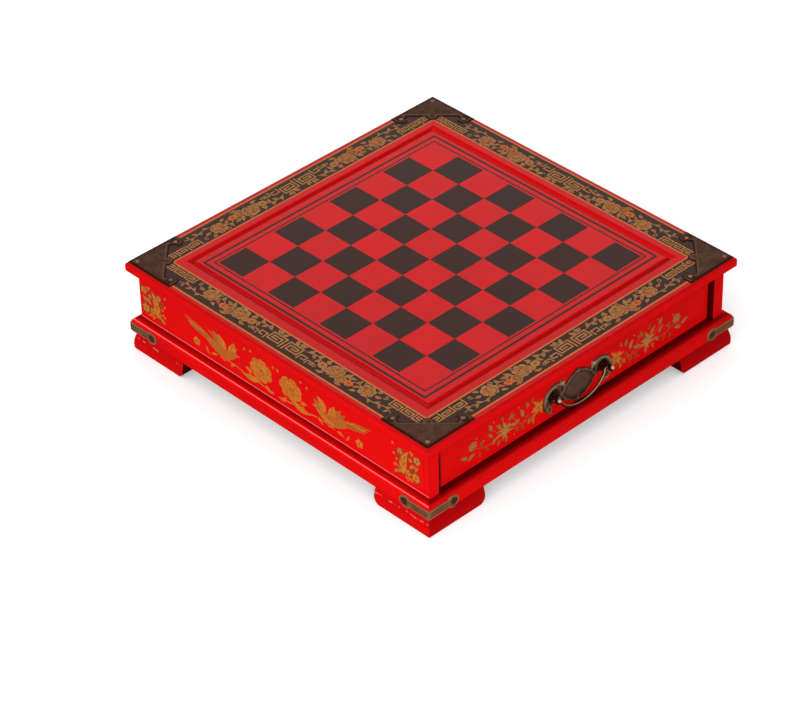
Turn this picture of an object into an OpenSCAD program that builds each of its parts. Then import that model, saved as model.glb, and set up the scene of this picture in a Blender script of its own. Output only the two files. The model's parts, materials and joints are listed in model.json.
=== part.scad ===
// Square chess box on bracket feet, with one drawer in its front and one in its back.
// -Y is the front, X runs along the drawer fronts and +Z is up. The origin is on the
// floor, at the centre of the footprint. All sizes are in millimetres.

/* [Box] */
// Width and depth over the top frame
box_w = 260; // [232:1:340]
// Overhang of the top frame past the walls
overhang = 5.4; // [4:0.1:9]
// Height of the walls, from plinth to top frame
wall_h = 34.8; // [33:0.2:60]
// Thickness of the side walls
wall_t = 8.3; // [6:0.1:12]
// Thickness of the strips that face the ends of the side walls
stile_t = 3.7; // [2:0.1:6]
// Chamfer on each facing strip, beside the side wall
joint_v = 0.4; // [0.2:0.1:0.8]
// Height of the shadow line along the foot of the side walls
shadow_h = 1.8; // [1:0.1:3]
// Depth of the shadow line
shadow_d = 1; // [0.4:0.1:2]
// Thickness of the board between the two drawers
divider_t = 6; // [4:0.5:12]

/* [Top frame] */
// Thickness of the mitred rails
rail_t = 7; // [6.6:0.1:10]
// Width of the rails that shows round the playing panel
border_w = 28; // [24:0.5:34]
// Width of the lip that carries the panel
lip_w = 7; // [4:0.5:12]
// Radius of the upper outer edge
rail_top_r = 2.3; // [1:0.1:3]
// Radius of the lower outer edge
rail_low_r = 1.3; // [0.8:0.1:2.5]
// Thickness of the playing panel
panel_t = 3.6; // [2.4:0.1:5]
// Depth of the panel's face below the frame's face
panel_drop = 0.3; // [0.1:0.1:0.8]
// Gap round the panel in its rebate
panel_gap = 0.15; // [0.1:0.05:0.4]
// Width of each slope of the groove round the panel
groove_slope = 1.5; // [0.8:0.1:2]
// Width of the batten under the panel
batten_w = 30; // [16:1:60]

/* [Corner brackets] */
// Length of each outer edge
bracket_leg = 38; // [34:0.5:42]
// Distance at which the straight inner edge would meet the outer edges
bracket_depth = 33.6; // [31.6:0.2:36]
// Sheet thickness
bracket_t = 0.6; // [0.4:0.1:1.2]
// Distance from the edge of the frame
bracket_inset = 1.4; // [1:0.1:2.4]
// Radius of the scroll at the end of each leg
bracket_scroll_r = 4.6; // [3.6:0.1:5]
// Radius of the bite beside each scroll
bracket_bite_r = 1.9; // [1:0.1:2]
// Radius of the knob in the middle of the inner edge
bracket_knob_r = 3.9; // [2:0.1:5]
// Distance of the corner nail from each outer edge
bracket_nail = 4; // [3:0.1:6]

/* [Plinth] */
// How far the plinth stands out past the walls
plinth_reach = 4.8; // [3:0.1:5.2]
// Height of the plinth
plinth_h = 11; // [10.6:0.1:18]
// Width of the plinth rails
plinth_rail_w = 24; // [20:0.5:30]
// Radius of the upper outer edge
plinth_top_r = 2.4; // [1:0.1:2.6]
// Radius of the lower outer edge
plinth_low_r = 2.2; // [1:0.1:2.4]
// Thickness of the bottom board
bottom_t = 4; // [3:0.2:6]
// Width of the rebate that carries the bottom board
bottom_lap = 8; // [5:0.5:10]
// Gap round the bottom board in its rebate
bottom_gap = 0.2; // [0.1:0.05:0.5]

/* [Feet] */
// Height of the feet
foot_h = 12.2; // [10:0.1:24]
// Length of each side of a foot
foot_l = 45.3; // [34:0.1:60]
// Thickness of a foot at its top
foot_t = 14; // [10:0.5:18]
// How far the face of a foot swells past its top edge
foot_swell = 1.8; // [1:0.1:2]
// Height of the widest line of the swelling
swell_z = 3.5; // [2:0.1:5]
// Radius of the lower corner at the free end
foot_corner_r = 6; // [4:0.5:8]
// Radius of the edge that meets the floor
foot_edge_r = 1.2; // [0.6:0.1:1.8]
// Width of the glue block inside each foot
block_w = 12; // [8:0.5:16]
// Clearance between glue block and floor
block_lift = 1; // [0.5:0.1:2]

/* [Corner straps] */
// Length of each arm
strap_l = 23.7; // [19:0.1:32]
// Height of the arms
strap_h = 5.8; // [5:0.1:6.2]
// Sheet thickness
strap_t = 0.6; // [0.4:0.1:1]
// Height of the lower edge above the plinth's underside
strap_z = 2.4; // [2.3:0.1:2.6]
// Radius of the round end
strap_end_r = 4.1; // [3:0.1:4.2]
// Height of the neck behind the round end
strap_neck_h = 4.8; // [3:0.1:5]
// Length of the neck
strap_neck_l = 1.5; // [1:0.1:3]

/* [Drawers] */
// Depth of a closed drawer's face behind the walls' ends
drawer_recess = 3; // [0.5:0.1:4]
// Gap at each side of a drawer
drawer_gap = 0.6; // [0.4:0.1:2]
// Gap above a drawer's face
head_gap = 0.6; // [0.3:0.1:1.5]
// Gap below a drawer's face
face_gap = 0.6; // [0.3:0.1:1.5]
// Running gap below a drawer's sides and back
slide_gap = 0.3; // [0.1:0.05:0.6]
// Gap between a closed drawer and the divider
stop_gap = 0.6; // [0.3:0.1:2]
// Thickness of the drawer's face board
face_t = 8; // [6:0.5:12]
// Thickness of the sides and back
side_t = 5; // [4:0.5:8]
// Height of the face above the sides and back
side_drop = 5; // [1:0.5:8]
// Thickness of the drawer's bottom
tray_t = 3; // [2:0.1:4]
// Height of the bottom above the sides' lower edge
tray_z = 1.5; // [1:0.1:3]
// Depth of the groove that holds the bottom
tray_groove = 2.5; // [1.5:0.1:3]
// Clearance of the bottom in its groove
tray_gap = 0.05; // [0.02:0.01:0.1]
// Thickness of the felt lining
felt_t = 0.8; // [0.5:0.1:2]

/* [Handles] */
// Height of the handle's centre above the face's lower edge
handle_z = 12.6; // [12.2:0.1:16]
// Half width of the middle shield
shield_a = 15.3; // [12:0.1:16]
// Half height of the middle shield
shield_b = 11.6; // [9:0.1:12]
// Depth of the scallops, as a part of the half sizes
scallop = 0.06; // [0.02:0.01:0.1]
// Fullness of the shield: 1 is a diamond and 2 an oval
fullness = 1.4; // [1.2:0.05:1.8]
// Distance of each crescent's centre from the middle
lobe_x = 18.7; // [17:0.1:20]
// Outer radius of the crescents
lobe_r = 10.3; // [9.5:0.1:11]
// Radius of the opening inside each crescent
lobe_cut_r = 4.7; // [4:0.1:5.2]
// Depth of the opening's centre below the crescent's
lobe_cut_z = 5.4; // [5:0.1:6]
// Radius of the eye in the curl at the foot of each crescent
eye_r = 0.9; // [0.5:0.1:1.2]
// Radius of the bead beside the shield
bead_r = 1.4; // [1:0.1:1.8]
// Distance of each bead from the middle
bead_x = 13.4; // [12:0.1:14]
// Sheet thickness of the plate
plate_t = 1; // [0.6:0.1:1.4]
// Distance of each post from the middle
post_x = 22.5; // [22.3:0.1:24.5]
// Distance of the posts' ball from the plate
post_reach = 5.2; // [4.9:0.1:6]
// Distance of the bail's pins from the plate
pin_reach = 3; // [2.7:0.1:3.4]
// Radius of the posts' ball
ball_r = 2; // [1.9:0.1:2.2]
// Radius of the post's stem
stem_r = 1.8; // [1.6:0.1:1.9]
// Radius of the collar that lies on the plate
collar_r = 2.8; // [2.2:0.1:3.2]
// Thickness of the collar
collar_t = 0.9; // [0.5:0.1:1.2]
// Radius of the shank that passes through the face board
shank_r = 1.1; // [0.8:0.1:1.2]
// Radius of the washer on the inside
washer_r = 3; // [2.4:0.1:4]
// Thickness of the washer
washer_t = 0.8; // [0.5:0.1:1.2]
// Length of the riveted tail past the washer
tail_l = 0.5; // [0.3:0.1:1]
// Radius of the bail's wire
wire_r = 0.85; // [0.6:0.05:1]
// Half width of the bail
bail_a = 18.9; // [17:0.1:19]
// Drop of the bail below its pivots
bail_drop = 13.2; // [13.1:0.1:13.4]
// Bend radius at the pivots
bail_bend = 1.5; // [1.2:0.1:1.6]
// Radius of the bail's lower corners
bail_corner_r = 11.5; // [8:0.1:11.5]
// Radial clearance of the bail in its posts
pin_gap = 0.07; // [0.02:0.01:0.09]
// Length of the bail's pins past the posts
pin_end = 0.6; // [0.2:0.1:1.5]
// Height of the pivots above the handle's centre
pivot_rise = 2.4; // [1.6:0.1:3]
// Radius of the heads of the plate's pins
stud_r = 1; // [0.7:0.1:1.3]

/* [Nails] */
// Radius of the heads
nail_head_r = 1.3; // [0.9:0.1:1.6]
// Height of the domed heads
nail_dome = 0.4; // [0.2:0.1:0.8]
// Radius of the shanks
nail_r = 0.6; // [0.4:0.1:0.8]
// Length of the shanks
nail_l = 5; // [3:0.5:6]
// Radial clearance of shanks in their holes
nail_gap = 0.05; // [0.02:0.01:0.1]
// Space past the end of a shank in its hole
nail_end = 0.2; // [0:0.1:0.5]

/* [Hidden] */
$fn = 64;

// Half widths, from the centre of the box outwards.
top_half = box_w / 2;
wall_half = top_half - overhang;
room_half = wall_half - wall_t;
field_half = top_half - border_w;
lip_half = field_half - lip_w;
plinth_half = wall_half + plinth_reach;
plinth_in = plinth_half - plinth_rail_w;
bottom_half = plinth_in + bottom_lap;
foot_top_half = plinth_half - plinth_low_r;
foot_half = foot_top_half + foot_swell;
foot_in = foot_top_half - foot_t;
bracket_half = top_half - bracket_inset;

// Levels, from the floor upwards.
plinth_top = foot_h + plinth_h;
rail_low = plinth_top + wall_h;
rail_top = rail_low + rail_t;
panel_top = rail_top - panel_drop;
panel_low = panel_top - panel_t;
drawer_low = plinth_top + slide_gap;
face_low = plinth_top + face_gap;
face_top = rail_low - head_gap;
side_top = face_top - side_drop;
tray_low = drawer_low + tray_z;
tray_top = tray_low + tray_t;

// Drawer, seen as the front one.
drawer_half = room_half - drawer_gap;
face_y = -(wall_half - drawer_recess);
face_in_y = face_y + face_t;
drawer_end_y = -(divider_t / 2 + stop_gap);

// Handle, on the front drawer.
plate_y = face_y - plate_t;
handle_mid_z = face_low + handle_z;
pivot_y = plate_y - pin_reach;
pivot_z = handle_mid_z + pivot_rise;
hole_r = nail_r + nail_gap;
shank_hole_r = shank_r + nail_gap;
bead_z = sqrt(lobe_r * lobe_r - (lobe_x - bead_x) * (lobe_x - bead_x)) - bead_r / 2;
stud_z = shield_b - stud_r * 1.7;
pin_l = face_t - tray_groove - 1;

// Bracket nails: one near the corner and one in each scroll, as distances from the corner.
scroll_mid = bracket_leg - bracket_scroll_r;
scroll_inset = bracket_scroll_r + 0.6;
bracket_holes = [[bracket_nail, bracket_nail], [scroll_mid, scroll_inset], [scroll_inset, scroll_mid]];

// Strap nails: one in the round end of each arm.
strap_mid_z = foot_h + strap_z + strap_h / 2;
strap_nail_x = strap_l - strap_end_r;
strap_half = plinth_half + strap_t;

red = [0.85, 0.06, 0.05];
dark_red = [0.6, 0.05, 0.05];
bronze = [0.33, 0.26, 0.2];
olive = [0.45, 0.38, 0.25];
wood = [0.72, 0.55, 0.36];
felt = [0.12, 0.1, 0.1];
big = 2 * box_w;

// ---- shared shapes ----

// Section of a board whose outer edges are rounded, from inner to outer.
module moulded(inner, outer, low, high, low_r, top_r) {
    translate([inner, low + low_r]) square([outer - inner, high - low - low_r - top_r]);
    if (low_r > 0) {
        translate([inner, low]) square([outer - inner - low_r, low_r]);
        translate([outer - low_r, low + low_r]) circle(low_r);
    }
    if (top_r > 0) {
        translate([inner, high - top_r]) square([outer - inner - top_r, top_r]);
        translate([outer - top_r, high - top_r]) circle(top_r);
    }
}

// Turns a section, drawn as distance from the centre and height, into a front rail.
module along_front() {
    rotate([90, 0, 90]) linear_extrude(big, center = true) mirror([1, 0]) children();
}

// The quarter of the plan that belongs to the front, cut along the mitres.
module front_quarter() {
    linear_extrude(big) polygon([[0, 0], [-big, -big], [big, -big]]);
}

module box_between(low, high) {
    translate(low) cube(high - low);
}

// Nail that points down, with its head's underside at the origin.
module nail(head_r, dome, body_r, body_l) {
    ball = (head_r * head_r + dome * dome) / (2 * dome);
    intersection() {
        translate([0, 0, dome - ball]) sphere(ball);
        cylinder(h = dome * 2, r = head_r * 2);
    }
    translate([0, 0, -body_l]) cylinder(h = body_l, r = body_r);
}

// ---- top frame and playing panel ----

module at_bracket_holes() {
    for (turn = [0:90:270])
        for (hole = bracket_holes)
            rotate(turn) translate([hole[0] - bracket_half, hole[1] - bracket_half, rail_top]) children();
}

module top_rail(turn) {
    color(red) difference() {
        intersection() {
            rotate(turn) along_front() difference() {
                moulded(lip_half, top_half, rail_low, rail_top, rail_low_r, rail_top_r);
                translate([lip_half - 1, panel_low]) square([lip_w + 1, rail_t]);
                polygon([[field_half - 1, rail_top + 1], [field_half + groove_slope + 1, rail_top + 1],
                    [field_half - 1, rail_top - groove_slope - 1]]);
            }
            rotate(turn) front_quarter();
        }
        at_bracket_holes() translate([0, 0, -nail_l]) cylinder(h = nail_l + 1, r = hole_r);
    }
}

// Section of the panel, with a slope of the groove along each upper edge.
module panel_section() {
    edge = field_half - panel_gap;
    slope_low = panel_top - groove_slope;
    polygon([[-edge, panel_low], [edge, panel_low], [edge, slope_low],
        [edge - groove_slope, panel_top], [groove_slope - edge, panel_top], [-edge, slope_low]]);
}

module board_panel() {
    color(dark_red) intersection() {
        along_front() panel_section();
        rotate(90) along_front() panel_section();
    }
}

// Fills the space between divider and panel.
module panel_batten() {
    reach = lip_half - panel_gap;
    color(wood) box_between([-reach, -batten_w / 2, rail_low], [reach, batten_w / 2, panel_low]);
}

// ---- corner brackets ----

// Plan of a bracket, drawn from its corner at the origin. Its two legs mirror each other
// across the diagonal: side 0 is drawn as it is and side 1 is flipped.
module bracket_plan() {
    inner_end = bracket_depth - scroll_inset;
    difference() {
        union() {
            polygon([[0, 0], [scroll_mid, 0], [scroll_mid, scroll_inset], [inner_end, scroll_inset],
                [scroll_inset, inner_end], [scroll_inset, scroll_mid], [0, scroll_mid]]);
            for (side = [0, 1]) mirror([side, -side]) {
                translate([scroll_mid, 0]) square([bracket_scroll_r, scroll_inset]);
                translate([scroll_mid, scroll_inset]) circle(bracket_scroll_r);
            }
            translate([bracket_depth / 2, bracket_depth / 2]) circle(bracket_knob_r);
        }
        for (side = [0, 1]) mirror([side, -side])
            translate([scroll_mid - 0.8 * bracket_scroll_r, scroll_inset + 0.6 * bracket_scroll_r])
                circle(bracket_bite_r);
        for (hole = bracket_holes) translate(hole) circle(hole_r);
    }
}

module bracket(turn) {
    color(bronze) rotate(turn) translate([-bracket_half, -bracket_half, rail_top])
        linear_extrude(bracket_t) bracket_plan();
}

module bracket_nails() {
    color(bronze) at_bracket_holes() translate([0, 0, bracket_t])
        nail(nail_head_r, nail_dome, nail_r, nail_l + bracket_t - nail_end);
}

// ---- walls ----

// Recess along the foot of the left side, from front to back.
module shadow_line() {
    box_between([-wall_half - 1, -wall_half - 1, plinth_top - 1],
        [shadow_d - wall_half, wall_half + 1, plinth_top + shadow_h]);
}

module side_wall(turn) {
    end = wall_half - stile_t;
    color(red) rotate(turn) difference() {
        box_between([-wall_half, -end, plinth_top], [-room_half, end, rail_low]);
        shadow_line();
    }
}

// Facing strip on the end of a side wall. The front right one is the front left one mirrored.
module stile(flip_x, flip_y) {
    end = wall_half - stile_t;
    color(red) mirror([flip_x, 0]) mirror([0, flip_y]) difference() {
        translate([0, 0, plinth_top]) linear_extrude(wall_h)
            polygon([[-wall_half, -wall_half], [-room_half, -wall_half], [-room_half, -end],
                [joint_v - wall_half, -end], [-wall_half, -end - joint_v]]);
        shadow_line();
    }
}

module divider() {
    color(wood) box_between([-room_half, -divider_t / 2, plinth_top], [room_half, divider_t / 2, rail_low]);
}

// ---- plinth, bottom and feet ----

module at_strap_nails() {
    for (turn = [0:90:270])
        for (side = [0, 1])
            rotate(turn) mirror([side, -side])
                translate([strap_nail_x - plinth_half, -strap_half, strap_mid_z]) rotate([90, 0, 0])
                    children();
}

module plinth_rail(turn) {
    color(red) difference() {
        intersection() {
            rotate(turn) along_front() difference() {
                moulded(plinth_in, plinth_half, foot_h, plinth_top, plinth_low_r, plinth_top_r);
                translate([plinth_in - 1, plinth_top - bottom_t]) square([bottom_lap + 1, bottom_t + 1]);
            }
            rotate(turn) front_quarter();
        }
        at_strap_nails() translate([0, 0, -nail_l - strap_t]) cylinder(h = nail_l + strap_t + 1, r = hole_r);
    }
}

module bottom_board() {
    edge = bottom_half - bottom_gap;
    color(wood) box_between([-edge, -edge, plinth_top - bottom_t], [edge, edge, plinth_top]);
}

// Section of a foot: its face is an arc that is widest near the floor.
module foot_section() {
    rise = foot_h - swell_z;
    arc_r = (rise * rise + foot_swell * foot_swell) / (2 * foot_swell);
    intersection() {
        moulded(foot_in, foot_half, 0, foot_h, foot_edge_r, 0);
        translate([foot_half - arc_r, swell_z]) circle(arc_r, $fn = 128);
    }
}

// Half of a foot, up to the mitre. The front left foot's front half, or its left half when flipped.
module foot_half_leg(turn, flip) {
    free_end = foot_l - foot_half;
    color(red) rotate(turn) mirror([flip, -flip]) intersection() {
        along_front() foot_section();
        rotate([90, 0, 0]) linear_extrude(big) {
            translate([-foot_half - 1, 0]) square([foot_l + 1 - foot_corner_r, foot_h]);
            translate([-foot_half - 1, foot_corner_r]) square([foot_l + 1, foot_h - foot_corner_r]);
            translate([free_end - foot_corner_r, foot_corner_r]) circle(foot_corner_r);
        }
        front_quarter();
    }
}

module glue_blocks() {
    reach = block_w - foot_in;
    color(wood) for (turn = [0:90:270])
        rotate(turn) box_between([-foot_in, -foot_in, block_lift], [reach, reach, foot_h]);
}

// ---- corner straps ----

module strap_arm() {
    body_l = strap_l - strap_end_r * 2 - strap_neck_l;
    translate([-plinth_half, -plinth_half, foot_h + strap_z]) rotate([90, 0, 0])
    linear_extrude(strap_t) difference() {
        union() {
            translate([-strap_t, 0]) square([body_l + strap_t, strap_h]);
            translate([0, (strap_h - strap_neck_h) / 2]) square([strap_nail_x, strap_neck_h]);
            translate([strap_nail_x, strap_h / 2]) circle(strap_end_r);
        }
        translate([strap_nail_x, strap_h / 2]) circle(hole_r);
    }
}

module strap(turn) {
    color(olive) rotate(turn) for (side = [0, 1]) mirror([side, -side]) strap_arm();
}

module strap_nails() {
    color(olive) at_strap_nails() nail(nail_head_r, nail_dome, nail_r, nail_l + strap_t - nail_end);
}

// ---- drawers, drawn as the front one ----

module tray_slot() {
    reach = drawer_half - side_t + tray_groove + tray_gap;
    box_between([-reach, face_in_y - tray_groove - tray_gap, tray_low - tray_gap],
        [reach, drawer_end_y - side_t + tray_groove + tray_gap, tray_top + tray_gap]);
}

module at_posts() {
    for (side = [-1, 1]) translate([side * post_x, 0, pivot_z]) children();
}

module at_pins() {
    for (side = [-1, 1]) translate([0, face_y, handle_mid_z + side * stud_z]) children();
}

module drawer_face() {
    color(red) difference() {
        box_between([-drawer_half, face_y, face_low], [drawer_half, face_in_y, face_top]);
        tray_slot();
        at_posts() translate([0, face_in_y + 1, 0]) rotate([90, 0, 0])
            cylinder(h = face_t + 2, r = shank_hole_r);
        at_pins() translate([0, pin_l, 0]) rotate([90, 0, 0]) cylinder(h = pin_l + 1, r = hole_r);
    }
}

// The left side as seen from the front, or the right one when flipped.
module drawer_side(flip) {
    color(wood) mirror([flip, 0]) difference() {
        box_between([-drawer_half, face_in_y, drawer_low], [side_t - drawer_half, drawer_end_y, side_top]);
        tray_slot();
    }
}

module drawer_back() {
    reach = drawer_half - side_t;
    color(wood) difference() {
        box_between([-reach, drawer_end_y - side_t, drawer_low], [reach, drawer_end_y, side_top]);
        tray_slot();
    }
}

module drawer_tray() {
    reach = drawer_half - side_t + tray_groove;
    color(wood) box_between([-reach, face_in_y - tray_groove, tray_low],
        [reach, drawer_end_y - side_t + tray_groove, tray_top]);
}

module drawer_felt() {
    reach = drawer_half - side_t;
    color(felt) box_between([-reach, face_in_y, tray_top], [reach, drawer_end_y - side_t, tray_top + felt_t]);
}

// ---- handles, drawn on the front drawer ----

// Edge of the shield at an angle, with twelve scallops.
function shield_edge(angle) =
    let (sum = pow(abs(cos(angle)), fullness) + pow(abs(sin(angle)), fullness))
    let (reach = pow(sum, -1 / fullness) * (1 - scallop * (1 - abs(cos(6 * angle)))))
    [shield_a * reach * cos(angle), shield_b * reach * sin(angle)];

module plate_outline() {
    polygon([for (step = [0:119]) shield_edge(step * 3)]);
    for (side = [0, 1]) mirror([side, 0]) {
        difference() {
            translate([lobe_x, 0]) circle(lobe_r);
            translate([lobe_x - eye_r, -lobe_cut_z]) circle(lobe_cut_r);
            translate([0, -big]) square([lobe_x, big - lobe_cut_z]);
            translate([lobe_x + lobe_r - 5 * eye_r, -lobe_cut_z]) circle(eye_r);
        }
        translate([bead_x, bead_z]) circle(bead_r);
    }
}

module handle_plate() {
    color(bronze) translate([0, face_y, handle_mid_z]) rotate([90, 0, 0]) {
        linear_extrude(plate_t) difference() {
            plate_outline();
            for (side = [-1, 1]) {
                translate([side * post_x, pivot_rise]) circle(shank_hole_r);
                translate([0, side * stud_z]) circle(hole_r);
            }
        }
        for (side = [-1, 1]) translate([side * bead_x, bead_z, plate_t]) intersection() {
            sphere(bead_r);
            cylinder(h = bead_r, r = bead_r);
        }
    }
}

module handle_posts() {
    color(bronze) at_posts() difference() {
        translate([0, plate_y, 0]) rotate([90, 0, 0]) union() {
            cylinder(h = collar_t, r = collar_r);
            cylinder(h = post_reach, r = stem_r);
            translate([0, 0, post_reach]) sphere(ball_r);
            shank_l = plate_t + face_t + washer_t + tail_l;
            translate([0, 0, -shank_l]) cylinder(h = shank_l, r = shank_r);
        }
        translate([0, pivot_y, 0]) rotate([0, 90, 0])
            cylinder(h = stem_r * 4, r = wire_r + pin_gap, center = true);
    }
}

module handle_washers() {
    color(bronze) at_posts() translate([0, face_in_y + washer_t, 0]) rotate([90, 0, 0]) difference() {
        cylinder(h = washer_t, r = washer_r);
        translate([0, 0, -1]) cylinder(h = washer_t + 2, r = shank_hole_r);
    }
}

module handle_pins() {
    color(bronze) at_pins() translate([0, -plate_t, 0]) rotate([90, 0, 0])
        nail(stud_r, nail_dome, nail_r, pin_l + plate_t - nail_end);
}

// Quarter bend of wire, round the origin from +X to +Z.
module quarter_bend(bend_r) {
    rotate([90, 0, 0]) rotate_extrude(angle = 90) translate([bend_r, 0]) circle(wire_r);
}

// One half of a bail, from its middle to the pin that turns outwards into the post.
module bail_half() {
    corner_x = bail_a - bail_corner_r;
    corner_z = bail_corner_r - bail_drop;
    pin_x = bail_a + bail_bend;
    translate([0, 0, -bail_drop]) rotate([0, 90, 0]) cylinder(h = corner_x, r = wire_r);
    translate([corner_x, 0, corner_z]) rotate([0, 90, 0]) quarter_bend(bail_corner_r);
    translate([bail_a, 0, corner_z]) cylinder(h = -bail_bend - corner_z, r = wire_r);
    translate([pin_x, 0, -bail_bend]) mirror([1, 0]) quarter_bend(bail_bend);
    translate([pin_x, 0, 0]) rotate([0, 90, 0]) cylinder(h = post_x + stem_r + pin_end - pin_x, r = wire_r);
}

module bail() {
    color(bronze) translate([0, pivot_y, pivot_z])
        for (side = [0, 1]) mirror([side, 0]) bail_half();
}

// ---- the nodes ----

top_rail(0);  // top_rail_front
top_rail(90);  // top_rail_right
top_rail(180);  // top_rail_back
top_rail(270);  // top_rail_left
board_panel();
panel_batten();
bracket(0);  // bracket_fl
bracket(90);  // bracket_fr
bracket(180);  // bracket_br
bracket(270);  // bracket_bl
bracket_nails();
side_wall(0);  // side_left
side_wall(180);  // side_right
stile(0, 0);  // stile_fl
stile(1, 0);  // stile_fr
stile(0, 1);  // stile_bl
stile(1, 1);  // stile_br
divider();
bottom_board();
plinth_rail(0);  // plinth_front
plinth_rail(90);  // plinth_right
plinth_rail(180);  // plinth_back
plinth_rail(270);  // plinth_left
foot_half_leg(0, 0);  // foot_fl_front
foot_half_leg(0, 1);  // foot_fl_left
foot_half_leg(90, 0);  // foot_fr_right
foot_half_leg(90, 1);  // foot_fr_front
foot_half_leg(180, 0);  // foot_br_back
foot_half_leg(180, 1);  // foot_br_right
foot_half_leg(270, 0);  // foot_bl_left
foot_half_leg(270, 1);  // foot_bl_back
glue_blocks();
strap(0);  // strap_fl
strap(90);  // strap_fr
strap(180);  // strap_br
strap(270);  // strap_bl
strap_nails();
drawer_face();  // front_drawer_face
drawer_side(0);  // front_drawer_left
drawer_side(1);  // front_drawer_right
drawer_back();  // front_drawer_back
drawer_tray();  // front_drawer_tray
drawer_felt();  // front_drawer_felt
handle_plate();  // front_handle_plate
handle_posts();  // front_handle_posts
handle_washers();  // front_handle_washers
handle_pins();  // front_handle_pins
bail();  // front_bail
rotate(180) drawer_face();  // back_drawer_face
rotate(180) drawer_side(0);  // back_drawer_left
rotate(180) drawer_side(1);  // back_drawer_right
rotate(180) drawer_back();  // back_drawer_back
rotate(180) drawer_tray();  // back_drawer_tray
rotate(180) drawer_felt();  // back_drawer_felt
rotate(180) handle_plate();  // back_handle_plate
rotate(180) handle_posts();  // back_handle_posts
rotate(180) handle_washers();  // back_handle_washers
rotate(180) handle_pins();  // back_handle_pins
rotate(180) bail();  // back_bail
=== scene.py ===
"""Lacquered chess box with two drawers: its finishes, gilding, stamped fittings and studio."""

import json
import math
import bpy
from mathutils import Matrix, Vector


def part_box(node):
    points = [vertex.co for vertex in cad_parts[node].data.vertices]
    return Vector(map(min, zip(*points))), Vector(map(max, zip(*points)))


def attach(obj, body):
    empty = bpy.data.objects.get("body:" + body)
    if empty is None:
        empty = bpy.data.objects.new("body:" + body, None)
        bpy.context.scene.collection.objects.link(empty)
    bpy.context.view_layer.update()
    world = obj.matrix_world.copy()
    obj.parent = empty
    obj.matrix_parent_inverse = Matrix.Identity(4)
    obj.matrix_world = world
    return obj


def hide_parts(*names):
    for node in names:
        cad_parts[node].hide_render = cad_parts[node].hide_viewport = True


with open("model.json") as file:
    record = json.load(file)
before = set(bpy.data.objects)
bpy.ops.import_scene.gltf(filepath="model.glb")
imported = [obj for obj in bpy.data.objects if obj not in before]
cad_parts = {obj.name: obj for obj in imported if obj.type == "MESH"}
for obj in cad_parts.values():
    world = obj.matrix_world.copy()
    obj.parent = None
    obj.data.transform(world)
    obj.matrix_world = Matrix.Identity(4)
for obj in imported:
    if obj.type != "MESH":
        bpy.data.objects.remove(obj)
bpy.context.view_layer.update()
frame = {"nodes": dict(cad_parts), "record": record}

from fnmatch import fnmatch

import bmesh
import bpy
import numpy as np
from mathutils import Matrix, Vector

bl_info = {
    "name": "Chess Box Finishes",
    "version": (1, 0, 0),
    "blender": (4, 5, 0),
    "location": "3D View > Sidebar > Chess Box",
    "description": "Dresses a lacquered chess box with drawers",
    "category": "Object",
}

MM = 0.001


# ---- sizes read from the frame, in millimetres ----


def node_box(node):
    low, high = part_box(node)
    return [value / MM for value in low], [value / MM for value in high]


SIDE_LOW, SIDE_HIGH = node_box("side_right")
FOOT_HIGH = node_box("foot_fl_front")[1]
PLATE_LOW, PLATE_HIGH = node_box("front_handle_plate")
STRAP_LOW, STRAP_HIGH = node_box("strap_fl")
RAIL_TOP = node_box("top_rail_front")[1][2]
PLINTH_TOP = node_box("plinth_front")[1][2]
FACE_Y = node_box("front_drawer_face")[0][1]
BRACKET_START = node_box("bracket_fl")[0][0]
WALL_HALF = SIDE_HIGH[0]
ROOM_HALF = SIDE_LOW[0]
FOOT_END = -FOOT_HIGH[0]
FOOT_TOP = FOOT_HIGH[2]
PLATE_MID = (PLATE_LOW[2] + PLATE_HIGH[2]) / 2
STRAP_MID = (STRAP_LOW[2] + STRAP_HIGH[2]) / 2
STRAP_OUT = -STRAP_LOW[0]
BAIL_JOINT = frame["record"]["behaviour"]["joints"][2]
PIVOT_Y, PIVOT_Z = [value / MM for value in BAIL_JOINT["pos_m"][1:3]]

# top of the line of shadow along the foot of the walls, and where the groove in the top begins
SHADOW_TOP = PLINTH_TOP + 1.8
GROOVE_OUT = 104.0

# names of the four corners and of the two drawers, with their quarter turns
CORNERS = ("fl", "fr", "br", "bl")
DRAWERS = (("front", 0), ("back", 2))

# height of the ripples in the lacquer, in metres
RIPPLE = 0.00008

# tones of the gold paint: shade at -0.5, gold at 0, pale gold at 0.5, red gold at 1
SHADE = -0.5
RED_GOLD = 1.0
OUTLINE = 1.5


def plain(red, green, blue):
    """A colour as a picker shows it, turned into light values."""
    def linear(value):
        value /= 255
        return value / 12.92 if value <= 0.04045 else ((value + 0.055) / 1.055) ** 2.4
    return (linear(red), linear(green), linear(blue), 1.0)


# ---- shading: sockets that take part in plain arithmetic ----


def maths(operation, swapped=False):
    """A method of Value that adds one Math node."""
    def apply(self, *others):
        values = (self, *others)
        inputs = dict(enumerate(reversed(values) if swapped else values))
        return self.nodes.node("ShaderNodeMath", {"operation": operation}, inputs)
    return apply


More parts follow.
